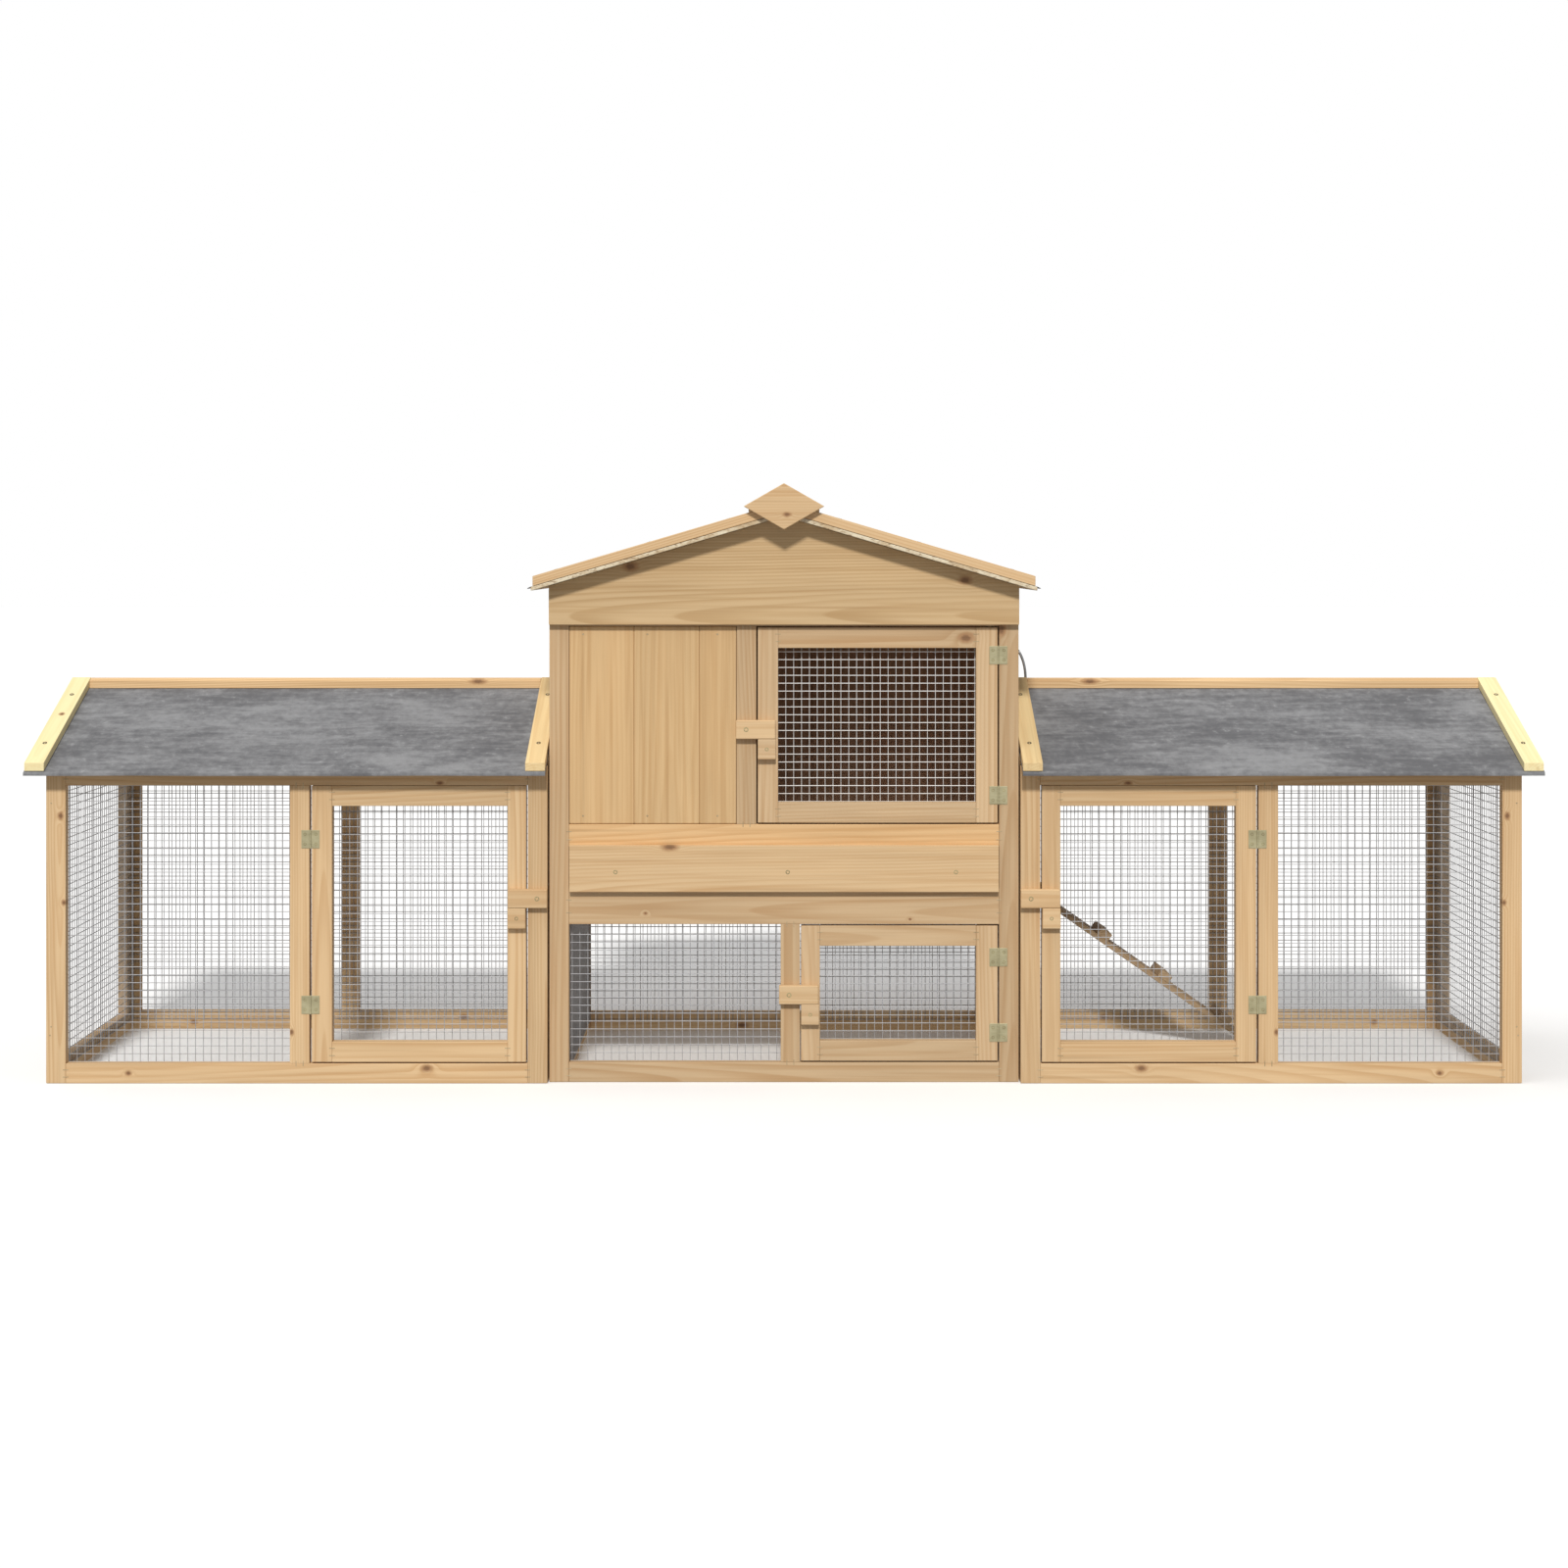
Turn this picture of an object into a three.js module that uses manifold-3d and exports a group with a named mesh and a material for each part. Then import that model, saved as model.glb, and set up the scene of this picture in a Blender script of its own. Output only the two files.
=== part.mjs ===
// Rabbit hutch: a two-storey house in the middle and a wire run on each side.
// Millimetres, +Z up, +X along the length. The door side faces -Y, and the hutch stands on Z = 0.
// Inside this file depths are counted from the front face of the runs, and the finished group is
// then moved back so that the origin lies under the middle of the whole hutch.

import * as THREE from 'three';
import { mergeVertices } from 'three/addons/utils/BufferGeometryUtils.js';
import Module from 'manifold-3d';

const wasm = await Module();
wasm.setup();

// ---- driving dimensions -------------------------------------------------------------------------

const GAP = 0.3; // clearance between pieces that touch
const BATTEN = 26.5; // width of every stile, rail and post
const PANEL = 14; // thickness of the framed panels
const BOARD = 8.7; // thickness of the planks and boards
const WIRE_SHEET = 1.2; // thickness of a sheet of welded mesh with its wires
const DOOR_GAP = 2; // slit round a door
const MESH_LAP = 13; // how far a sheet of mesh laps over the timber behind an opening
const MESH_CLEAR = 1; // between the edges of two sheets of mesh that nearly meet
const SUNK = 1; // how far a joined piece or a cutting tool reaches past the face it crosses
const WELD = 1e-4; // vertices closer than this are one

// a run, measured outwards from the middle of the hutch
const RUN_IN = 319.5;
const RUN_OUT = 996;
const RUN_DEPTH = 400;
const RUN_HEIGHT = 428.4;
const RUN_TOP_RAIL = 402; // underside of the top rail
const RUN_MID_STILE = 640.5;
const RUN_SLOPE = THREE.MathUtils.degToRad(24.7);
const RUN_EAVE = 25; // overhang of the run roof in front and behind
const RUN_EAVE_Z = 417.5; // underside of the run roof at its eave
const RUN_ROOF_T = 5;
const RUN_ROOF_X = [320, 1019]; // inner and outer edges of the run roof
const RUN_BATTEN_X = [320.3, 1018]; // inner edge of the inner battens, outer edge of the outer ones
const RUN_BATTEN_T = 10.5;
const RUN_RIDGE_T = 10;
const RUN_RIDGE_W = 10;
const RUN_DOOR_STILE = 25;
const RUN_DOOR_RAIL = 27.5;
const RUN_DOOR_X = [348, 637.5];
const RUN_DOOR_Z = [28.5, 401.6];

// the house
const HOUSE_HALF = 317.5; // half its width
const HOUSE_SETBACK = 8; // its front face lies this far behind that of the runs
const HOUSE_DEPTH = RUN_DEPTH - 2 * HOUSE_SETBACK;
const HOUSE_TOP = 645; // top of the front and back frames
const HOUSE_SIDE_TOP = 671.2;
const HOUSE_SIDE_T = 24.5; // thickness of the side frames
const LOWER_RAIL = 213.5; // underside of the rail over the lower openings
const FLOOR_Z = 262; // top of that rail, and level of the upper floor
const TRAY_SLOT_TOP = 318;
const SILL_Z = 348.6; // sill of the upper openings
const HEAD_Z = 617; // head of the upper openings
const GABLE_Z = 618.8; // lower edge of the gable boards
const PLANKS_RIGHT = -64; // right edge of the planked part of the front
const LOWER_STILE = [-4.5, 21.5];
const HOUSE_SLOPE = THREE.MathUtils.degToRad(16.4);
const HOUSE_PEAK = 765; // underside of the house roof at its ridge
const HOUSE_ROOF_T = 5;
const HOUSE_ROOF_HALF = 344.5;
const HOUSE_BATTEN_T = 12.8;
const HOUSE_BATTEN_HALF = 337;
const HOUSE_EAVE = 24.5; // the house roof reaches this far past the runs in front and behind
const PLANK_INSET = { front: 1, back: 3 }; // the planks lie this far inside the frames' faces
const FLOOR_T = 9;
const LOWER_DOOR_SLIT = 1.5; // between the lower door and the stile that its latch is on
const UPPER_OPENING = { x: [-8, 260], z: [378.5, 590.5] };
const LOWER_OPENING = { x: [48.5, 260], z: [56, 185] };
const RIDGE_CAP_T = 8;
const RIDGE_CAP_HALF = 47.5;
const DIAMOND = { halfWidth: 54, halfHeight: 31, thickness: 10, z: 778 };

// latches: a wooden bar turns on a screw and rests on a block on the door
const LATCH = {
  length: 53.4,
  height: 25.2,
  thickness: 9.5,
  screwIn: 13.7, // from the bar's outer end to its screw
  block: 27.4, // height of the block
  blockWidth: 24.5,
};
const RUN_LATCH = { x: 332.5, z: 250.1 }; // places of the screws
const UPPER_LATCH = { x: -51.2, z: 477.3 };
const LOWER_LATCH = { x: 6.8, z: 119.2 };

// droppings tray
const TRAY = {
  halfWidth: 286,
  height: 25,
  wall: 1.5,
  front: 8.2,
  back: 372,
  lift: 0.6, // above the floor
  frontHalf: 290,
  frontZ: [258, 321],
};

// hatch in the right wall of the upper floor, its pull rod, and the ramp behind it
const DOORWAY = { front: 222, top: 400 };
const HATCH = { x: [298, 306], y: [217, 348], z: [263, 402] };
const GUIDE = { y: [204.5, 216.5], z: [262.5, 560] };
const ROD = {
  r: 2,
  y: 343,
  z: 277, // of the leg that leaves the hatch
  x: 359.5, // of the upright leg
  bend: 10,
  curveZ: [528.5, 552.5, 568.5], // where the upright leg starts to curve, is pulled to, and ends
  gripX: [350, 349], // at the end of the curve and along the grip
  gripY: [344, 349, 381], // where the grip turns, runs straight from, and ends
  gripZ: 570.5,
  holeR: 6, // the hole in the run roof that the rod comes up through
  holeSides: 24,
  rings: 48, // along the rod
  sides: 10,
};
const RAMP = { y: [241, 315], top: [322.3, 256], t: 7, slope: THREE.MathUtils.degToRad(34.9) };
const CLEAT = { first: 63.1, pitch: 106.3, length: 18.8, height: 11.2, count: 4 }; // down the slope
const RAMP_LIFT = 0.5; // the foot of the ramp stands this far above Z = 0

// the diamond stands furthest forward and the run roofs furthest back
const FRONTMOST = -HOUSE_EAVE - GAP - DIAMOND.thickness;
const REARMOST = RUN_DEPTH + RUN_EAVE;
const MID_Y = (FRONTMOST + REARMOST) / 2;

// ---- finishes -----------------------------------------------------------------------------------

const finish = (color, roughness, metalness = 0) =>
  new THREE.MeshStandardMaterial({ color, roughness, metalness });
const timber = () => finish(0xdcb98f, 0.72);
const planking = () => finish(0xd0ae81, 0.74);
const roofing = () => finish(0x8c8c8e, 0.95);
const weldedMesh = () => finish(0xb9bdc0, 0.4, 0.9);
const sheetSteel = () => finish(0x9aa0a3, 0.35, 0.9);
const rodSteel = () => finish(0x85888a, 0.35, 0.9);

// ---- helpers ------------------------------------------------------------------------------------

const hutch = new THREE.Group();
hutch.position.y = -MID_Y;

// mirror puts the piece on the left, as the mirror image of the one on the right.
function add(name, geometry, material, mirror = false) {
  const mesh = new THREE.Mesh(geometry, material);
  mesh.name = name;
  mesh.scale.x = mirror ? -1 : 1;
  hutch.add(mesh);
}

const rect = (a0, a1, b0, b1) => [[a0, b0], [a1, b0], [a1, b1], [a0, b1]];
const toVectors = (points) => points.map(([a, b]) => new THREE.Vector2(a, b));

// A flat piece: an outline with openings, given a thickness along the shape's own normal.
function plate(outline, openings, thickness) {
  const slab = (points, depth) =>
    new THREE.ExtrudeGeometry(new THREE.Shape(toVectors(points)), { depth, bevelEnabled: false });
  const tools = openings.map((opening) => slab(opening, thickness + 2 * SUNK).translate(0, 0, -SUNK));
  return tools.reduce(cut, slab(outline, thickness));
}

// The outline lies in X and Z, and the thickness runs back from depth y.
function uprightAlongX(outline, y, thickness, openings = []) {
  return plate(outline, openings, thickness).rotateX(Math.PI / 2).translate(0, y + thickness, 0);
}

// The outline lies in Y and Z, and the thickness runs towards +X from x.
function uprightAlongY(outline, x, thickness, openings = []) {
  const turn = new THREE.Matrix4().makeBasis(
    new THREE.Vector3(0, 1, 0),
    new THREE.Vector3(0, 0, 1),
    new THREE.Vector3(1, 0, 0),
  );
  return plate(outline, openings, thickness).applyMatrix4(turn).translate(x, 0, 0);
}

// The outline lies in X and Y, and the thickness rises from z.
function level(outline, z, thickness) {
  return plate(outline, [], thickness).translate(0, 0, z);
}

const block = ([x0, x1], [y0, y1], [z0, z1]) => level(rect(x0, x1, y0, y1), z0, z1 - z0);

function toManifold(geometry) {
  const bare = geometry.clone();
  bare.deleteAttribute('normal');
  bare.deleteAttribute('uv');
  const merged = mergeVertices(bare, WELD);
  return new wasm.Manifold(new wasm.Mesh({
    numProp: 3,
    vertProperties: new Float32Array(merged.getAttribute('position').array),
    triVerts: new Uint32Array(merged.index.array),
  }));
}

function fromManifold(solid) {
  const { vertProperties, triVerts } = solid.getMesh();
  const geometry = new THREE.BufferGeometry();
  geometry.setAttribute('position', new THREE.BufferAttribute(new Float32Array(vertProperties), 3));
  geometry.setIndex(new THREE.BufferAttribute(new Uint32Array(triVerts), 1));
  geometry.computeVertexNormals();
  return geometry;
}

function cut(whole, tool) {
  return fromManifold(toManifold(whole).subtract(toManifold(tool)));
}

function join(...pieces) {
  return fromManifold(pieces.map(toManifold).reduce((sum, piece) => sum.add(piece)));
}

// A layer of even thickness on both slopes of a gabled roof, as an inverted V round the middle line.
// under is the underside's height at the ridge, half the reach on each side, in the level.
function vee(middle, under, slope, half, thickness) {
  const rise = thickness / Math.cos(slope);
  const drop = half * Math.tan(slope);
  return [
    [middle - half, under - drop],
    [middle, under],
    [middle + half, under - drop],
    [middle + half, under - drop + rise],
    [middle, under + rise],
    [middle - half, under - drop + rise],
  ];
}

// One slope of such a layer, on the side given by sign, cut upright a little short of the ridge.
function oneSlope(middle, under, slope, half, thickness, sign) {
  const rise = thickness / Math.cos(slope);
  const height = (offset) => under - offset * Math.tan(slope);
  return [
    [middle + sign * half, height(half)],
    [middle + sign * GAP, height(GAP)],
    [middle + sign * GAP, height(GAP) + rise],
    [middle + sign * half, height(half) + rise],
  ];
}

// A door: a frame with one opening, and the block that the latch bar rests on, joined to its face.
function doorFrame({ x, z, opening, latch, face }) {
  const frame = uprightAlongX(rect(...x, ...z), face, PANEL, [rect(...opening.x, ...opening.z)]);
  const top = latch.z - LATCH.height / 2 - GAP;
  const stop = block(
    [x[0], x[0] + LATCH.blockWidth],
    [face - LATCH.thickness, face + SUNK],
    [top - LATCH.block, top],
  );
  return join(frame, stop);
}

// The mesh behind an opening, lapping over the timber round it.
function meshBehind([x0, x1], [z0, z1], y) {
  return uprightAlongX(rect(x0 - MESH_LAP, x1 + MESH_LAP, z0 - MESH_LAP, z1 + MESH_LAP), y, WIRE_SHEET);
}

// A latch bar in front of the face: its long end points towards the door on its +X side.
function latchBar({ x, z }, face) {
  const start = x - LATCH.screwIn;
  return block(
    [start, start + LATCH.length],
    [face - GAP - LATCH.thickness, face - GAP],
    [z - LATCH.height / 2, z + LATCH.height / 2],
  );
}

// ---- the two runs -------------------------------------------------------------------------------

const runUnder = RUN_EAVE_Z + (RUN_DEPTH / 2 + RUN_EAVE) * Math.tan(RUN_SLOPE);
const runMiddle = RUN_DEPTH / 2;
const runDoorOpening = {
  x: [RUN_DOOR_X[0] + RUN_DOOR_STILE, RUN_DOOR_X[1] - RUN_DOOR_RAIL],
  z: [RUN_DOOR_Z[0] + RUN_DOOR_RAIL, RUN_DOOR_Z[1] - RUN_DOOR_RAIL],
};

function runFrontOrBack(y) {
  return uprightAlongX(rect(RUN_IN, RUN_OUT, 0, RUN_HEIGHT), y, PANEL, [
    rect(RUN_IN + BATTEN, RUN_MID_STILE, BATTEN, RUN_TOP_RAIL),
    rect(RUN_MID_STILE + BATTEN, RUN_OUT - BATTEN, BATTEN, RUN_TOP_RAIL),
  ]);
}

// An end of the run between its front and back frames, with a gable that follows the roof.
function runEnd(x) {
  const y0 = PANEL + GAP;
  const y1 = RUN_DEPTH - PANEL - GAP;
  const top = (y) => runUnder - Math.abs(y - runMiddle) * Math.tan(RUN_SLOPE) - GAP;
  const outline = [[y0, 0], [y1, 0], [y1, top(y1)], [runMiddle, top(runMiddle)], [y0, top(y0)]];
  return uprightAlongY(outline, x, PANEL, [rect(y0 + BATTEN, y1 - BATTEN, BATTEN, RUN_TOP_RAIL)]);
}

// Mesh behind the back frame and the outer end, as one sheet bent round the corner.
function runCornerMesh() {
  const start = RUN_IN + PANEL + GAP;
  const outer = RUN_OUT - PANEL - GAP;
  const front = PANEL + 2 * GAP + WIRE_SHEET + MESH_CLEAR;
  const back = RUN_DEPTH - PANEL - GAP;
  const outline = [
    [start, back - WIRE_SHEET],
    [outer - WIRE_SHEET, back - WIRE_SHEET],
    [outer - WIRE_SHEET, front],
    [outer, front],
    [outer, back],
    [start, back],
  ];
  return level(outline, BATTEN - MESH_LAP, RUN_TOP_RAIL - BATTEN + 2 * MESH_LAP);
}

// The upright hole in the rear slope of the right run's roof that the pull rod comes up through.
function rodHole() {
  const length = 10 * RUN_ROOF_T;
  const hole = new THREE.CylinderGeometry(ROD.holeR, ROD.holeR, length, ROD.holeSides)
    .rotateX(Math.PI / 2);
  const roofZ = runUnder - (ROD.y - runMiddle) * Math.tan(RUN_SLOPE);
  return hole.translate(ROD.x, ROD.y, roofZ);
}

function makeRun(name, mirror) {
  const place = (piece, geometry, material) => add(`${name}_${piece}`, geometry, material, mirror);
  const layer = (under, half, thickness, [x0, x1]) =>
    uprightAlongY(vee(runMiddle, under, RUN_SLOPE, half, thickness), x0, x1 - x0);
  const half = runMiddle + RUN_EAVE;
  const onRoof = runUnder + (RUN_ROOF_T + GAP) / Math.cos(RUN_SLOPE);

  place('front_frame', runFrontOrBack(0), timber());
  place('back_frame', runFrontOrBack(RUN_DEPTH - PANEL), timber());
  place('outer_end_frame', runEnd(RUN_OUT - PANEL), timber());
  place('inner_end_frame', runEnd(RUN_IN), timber());
  const frontSheet = rect(
    RUN_MID_STILE + BATTEN - MESH_LAP, RUN_OUT - PANEL - GAP,
    BATTEN - MESH_LAP, RUN_TOP_RAIL + MESH_LAP,
  );
  place('front_mesh', uprightAlongX(frontSheet, PANEL + GAP, WIRE_SHEET), weldedMesh());
  place('back_and_end_mesh', runCornerMesh(), weldedMesh());

  const [roofStart, roofEnd] = RUN_ROOF_X;
  const slope = (sign) => uprightAlongY(
    oneSlope(runMiddle, runUnder, RUN_SLOPE, half, RUN_ROOF_T, sign), roofStart, roofEnd - roofStart);
  place('roof_front', slope(-1), roofing());
  place('roof_back', mirror ? slope(1) : cut(slope(1), rodHole()), roofing());

  const [battenStart, battenEnd] = RUN_BATTEN_X;
  const innerBattens = [battenStart, battenStart + BATTEN];
  const outerBattens = [battenEnd - BATTEN, battenEnd];
  const ridge = [innerBattens[1] + GAP, outerBattens[0] - GAP];
  place('roof_inner_battens', layer(onRoof, half, RUN_BATTEN_T, innerBattens), timber());
  place('roof_outer_battens', layer(onRoof, half, RUN_BATTEN_T, outerBattens), timber());
  place('roof_ridge_strip', layer(
    onRoof, RUN_RIDGE_W * Math.cos(RUN_SLOPE), RUN_RIDGE_T, ridge), timber());

  const door = { x: RUN_DOOR_X, z: RUN_DOOR_Z, opening: runDoorOpening, latch: RUN_LATCH, face: 0 };
  place('door_frame', doorFrame(door), timber());
  place('door_mesh', meshBehind(runDoorOpening.x, runDoorOpening.z, PANEL + GAP), weldedMesh());
  place('latch_bar', latchBar(RUN_LATCH, 0), timber());
}

makeRun('left_run', true);
makeRun('right_run', false);

// ---- the house ----------------------------------------------------------------------------------

const houseFront = HOUSE_SETBACK;
const houseBack = HOUSE_SETBACK + HOUSE_DEPTH;
const inner = HOUSE_HALF - BATTEN; // inner edge of the corner posts
const sideInner = HOUSE_HALF - HOUSE_SIDE_T;
const sideFront = houseFront + PANEL + GAP;
const sideBack = houseBack - PANEL - GAP;

// doors, whose hinges are on the right
const upperDoor = {
  x: [PLANKS_RIGHT + BATTEN + DOOR_GAP, inner - DOOR_GAP],
  z: [SILL_Z + DOOR_GAP, HEAD_Z - DOOR_GAP],
};
const lowerDoor = {
  x: [LOWER_STILE[1] + LOWER_DOOR_SLIT, inner - DOOR_GAP],
  z: [BATTEN + DOOR_GAP, LOWER_RAIL - DOOR_GAP],
};

function houseFrames() {
  const whole = rect(-HOUSE_HALF, HOUSE_HALF, 0, HOUSE_TOP);
  add('house_front_frame', uprightAlongX(whole, houseFront, PANEL, [
    rect(-inner, LOWER_STILE[0], BATTEN, LOWER_RAIL),
    rect(LOWER_STILE[1], inner, BATTEN, LOWER_RAIL),
    rect(-TRAY.halfWidth - DOOR_GAP, TRAY.halfWidth + DOOR_GAP, FLOOR_Z, TRAY_SLOT_TOP),
    rect(-inner, PLANKS_RIGHT, SILL_Z, HEAD_Z),
    rect(PLANKS_RIGHT + BATTEN, inner, SILL_Z, HEAD_Z),
  ]), timber());
  add('house_back_frame', uprightAlongX(whole, houseBack - PANEL, PANEL, [
    rect(-inner, inner, BATTEN, LOWER_RAIL),
    rect(-inner, inner, FLOOR_Z, HEAD_Z),
  ]), timber());
  const side = uprightAlongY(rect(sideFront, sideBack, 0, HOUSE_SIDE_TOP), sideInner, HOUSE_SIDE_T, [
    rect(sideFront + BATTEN, sideBack - BATTEN, BATTEN, LOWER_RAIL),
    rect(sideFront + BATTEN, sideBack - BATTEN, FLOOR_Z, HOUSE_TOP),
  ]);
  add('house_left_frame', side, timber(), true);
  add('house_right_frame', side, timber());
}

function housePlanks() {
  const frontSheet = rect(-inner + GAP, PLANKS_RIGHT - GAP, SILL_Z + GAP, HEAD_Z - GAP);
  const backSheet = rect(-inner + GAP, inner - GAP, FLOOR_Z + GAP, HEAD_Z - GAP);
  add('house_front_planks', uprightAlongX(
    frontSheet, houseFront + PLANK_INSET.front, BOARD), planking());
  add('house_back_planks', uprightAlongX(
    backSheet, houseBack - PLANK_INSET.back - BOARD, BOARD), planking());

  const y = [sideFront + BATTEN + GAP, sideBack - BATTEN - GAP];
  const bottom = FLOOR_Z + GAP;
  const top = HOUSE_TOP - GAP;
  const skinX = HOUSE_HALF - BOARD - GAP;
  add('house_left_planks', uprightAlongY(rect(...y, bottom, top), skinX, BOARD), planking(), true);
  // the doorway is taken out of the lower rear corner
  add('house_right_planks', uprightAlongY([
    [y[0], bottom],
    [DOORWAY.front, bottom],
    [DOORWAY.front, DOORWAY.top],
    [y[1], DOORWAY.top],
    [y[1], top],
    [y[0], top],
  ], skinX, BOARD), planking());
  add('house_floor', block(
    [-sideInner + GAP, sideInner - GAP],
    [sideFront, sideBack],
    [FLOOR_Z - GAP - FLOOR_T, FLOOR_Z - GAP],
  ), planking());
}

function houseMesh() {
  const behind = houseFront + PANEL + GAP;
  const frontSheet = rect(
    -inner + MESH_CLEAR, LOWER_STILE[0] + MESH_LAP,
    BATTEN - MESH_LAP, LOWER_RAIL + MESH_LAP,
  );
  add('house_front_mesh', uprightAlongX(frontSheet, behind, WIRE_SHEET), weldedMesh());
  const out = sideInner - GAP;
  const back = sideBack;
  const front = behind + WIRE_SHEET + MESH_CLEAR;
  // one sheet round the two sides and the back of the lower level
  add('house_lower_mesh', level([
    [-out, front],
    [-out + WIRE_SHEET, front],
    [-out + WIRE_SHEET, back - WIRE_SHEET],
    [out - WIRE_SHEET, back - WIRE_SHEET],
    [out - WIRE_SHEET, front],
    [out, front],
    [out, back],
    [-out, back],
  ], BATTEN - MESH_LAP, LOWER_RAIL - BATTEN + 2 * MESH_LAP), weldedMesh());
}

function houseRoof() {
  const y0 = -HOUSE_EAVE;
  const depth = RUN_DEPTH + 2 * HOUSE_EAVE;
  const onRoof = HOUSE_PEAK + (HOUSE_ROOF_T + GAP) / Math.cos(HOUSE_SLOPE);
  const onBattens = onRoof + (HOUSE_BATTEN_T + GAP) / Math.cos(HOUSE_SLOPE);

  // gable boards close the triangle between the frames and the roof
  const shoulder = HOUSE_PEAK - HOUSE_HALF * Math.tan(HOUSE_SLOPE) - GAP;
  const gable = [
    [-HOUSE_HALF, GABLE_Z],
    [HOUSE_HALF, GABLE_Z],
    [HOUSE_HALF, shoulder],
    [0, HOUSE_PEAK - GAP],
    [-HOUSE_HALF, shoulder],
  ];
  add('gable_front', uprightAlongX(gable, houseFront - GAP - BOARD, BOARD), timber());
  add('gable_back', uprightAlongX(gable, houseBack + GAP, BOARD), timber());

  const slopeOf = (sign) =>
    oneSlope(0, HOUSE_PEAK, HOUSE_SLOPE, HOUSE_ROOF_HALF, HOUSE_ROOF_T, sign);
  add('house_roof_left', uprightAlongX(slopeOf(-1), y0, depth), roofing());
  add('house_roof_right', uprightAlongX(slopeOf(1), y0, depth), roofing());

  const battens = vee(0, onRoof, HOUSE_SLOPE, HOUSE_BATTEN_HALF, HOUSE_BATTEN_T);
  add('house_roof_front_battens', uprightAlongX(battens, y0, BATTEN), timber());
  add('house_roof_back_battens', uprightAlongX(battens, y0 + depth - BATTEN, BATTEN), timber());
  add('house_ridge_cap', uprightAlongX(
    vee(0, onBattens, HOUSE_SLOPE, RIDGE_CAP_HALF, RIDGE_CAP_T), y0, depth), timber());
  add('ridge_diamond', uprightAlongX([
    [-DIAMOND.halfWidth, DIAMOND.z],
    [0, DIAMOND.z - DIAMOND.halfHeight],
    [DIAMOND.halfWidth, DIAMOND.z],
    [0, DIAMOND.z + DIAMOND.halfHeight],
  ], y0 - GAP - DIAMOND.thickness, DIAMOND.thickness), timber());
}

function addDoor(name, place, opening, latch) {
  const sheet = meshBehind(opening.x, opening.z, houseFront + PANEL + GAP);
  add(`${name}_door_frame`, doorFrame({ ...place, opening, latch, face: houseFront }), timber());
  add(`${name}_door_mesh`, sheet, weldedMesh());
  add(`${name}_latch_bar`, latchBar(latch, houseFront), timber());
}

// The droppings tray: a sheet steel pan that slides on the floor, and its wooden front.
function tray() {
  const bottom = FLOOR_Z + TRAY.lift;
  const top = bottom + TRAY.height;
  const pan = block([-TRAY.halfWidth, TRAY.halfWidth], [TRAY.front, TRAY.back], [bottom, top]);
  const inside = block(
    [-TRAY.halfWidth + TRAY.wall, TRAY.halfWidth - TRAY.wall],
    [TRAY.front + TRAY.wall, TRAY.back - TRAY.wall],
    [bottom + TRAY.wall, top + SUNK],
  );
  add('tray_pan', cut(pan, inside), sheetSteel());
  add('tray_front', block(
    [-TRAY.frontHalf, TRAY.frontHalf],
    [houseFront - GAP - BOARD, houseFront - GAP],
    TRAY.frontZ,
  ), timber());
}

// The hatch slides up inside the right wall. Its rod goes out through the doorway and up through
// the roof of the right run, so that the hatch is worked from outside.
function hatchAndRod() {
  add('hatch', block(HATCH.x, HATCH.y, HATCH.z), planking());
  add('hatch_guide', block(HATCH.x, GUIDE.y, GUIDE.z), timber());

  const at = (x, y, z) => new THREE.Vector3(x, y, z);
  const { x, y, z, bend, gripZ } = ROD;
  const [curveStart, curvePull, curveEnd] = ROD.curveZ;
  const [curveX, gripX] = ROD.gripX;
  const [turnY, gripStart, gripEnd] = ROD.gripY;
  const path = new THREE.CurvePath();
  const straight = (...ends) => path.add(new THREE.LineCurve3(...ends));
  const curve = (...points) => path.add(new THREE.QuadraticBezierCurve3(...points));
  straight(at(HATCH.x[1] + GAP, y, z), at(x - bend, y, z));
  curve(at(x - bend, y, z), at(x, y, z), at(x, y, z + bend));
  straight(at(x, y, z + bend), at(x, y, curveStart));
  curve(at(x, y, curveStart), at(x, y, curvePull), at(curveX, y, curveEnd));
  curve(at(curveX, y, curveEnd), at(gripX, turnY, gripZ), at(gripX, gripStart, gripZ));
  straight(at(gripX, gripStart, gripZ), at(gripX, gripEnd, gripZ));
  const section = new THREE.Shape().absarc(0, 0, ROD.r, 0, 2 * Math.PI);
  add('hatch_pull_rod', new THREE.ExtrudeGeometry(section, {
    steps: ROD.rings, extrudePath: path, bevelEnabled: false, curveSegments: ROD.sides,
  }), rodSteel());
}

// The ramp in the right run, drawn along its own slope: a board with cleats across it.
function ramp() {
  const [topX, topZ] = RAMP.top;
  const length = (topZ - RAMP_LIFT - RAMP.t * Math.cos(RAMP.slope)) / Math.sin(RAMP.slope);
  const outline = [[0, 0], [0, -RAMP.t], [length, -RAMP.t], [length, 0]];
  for (let i = CLEAT.count - 1; i >= 0; i--) {
    const middle = CLEAT.first + i * CLEAT.pitch;
    const lower = middle + CLEAT.length / 2;
    const upper = middle - CLEAT.length / 2;
    outline.push([lower, 0], [lower, CLEAT.height], [upper, CLEAT.height], [upper, 0]);
  }
  const width = RAMP.y[1] - RAMP.y[0];
  const board = uprightAlongX(outline, RAMP.y[0], width);
  board.rotateY(RAMP.slope).translate(topX, 0, topZ);
  add('ramp', board, timber());
}

houseFrames();
housePlanks();
houseMesh();
houseRoof();
addDoor('upper', upperDoor, UPPER_OPENING, UPPER_LATCH);
addDoor('lower', lowerDoor, LOWER_OPENING, LOWER_LATCH);
tray();
hatchAndRod();
ramp();

export default hutch;
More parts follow.
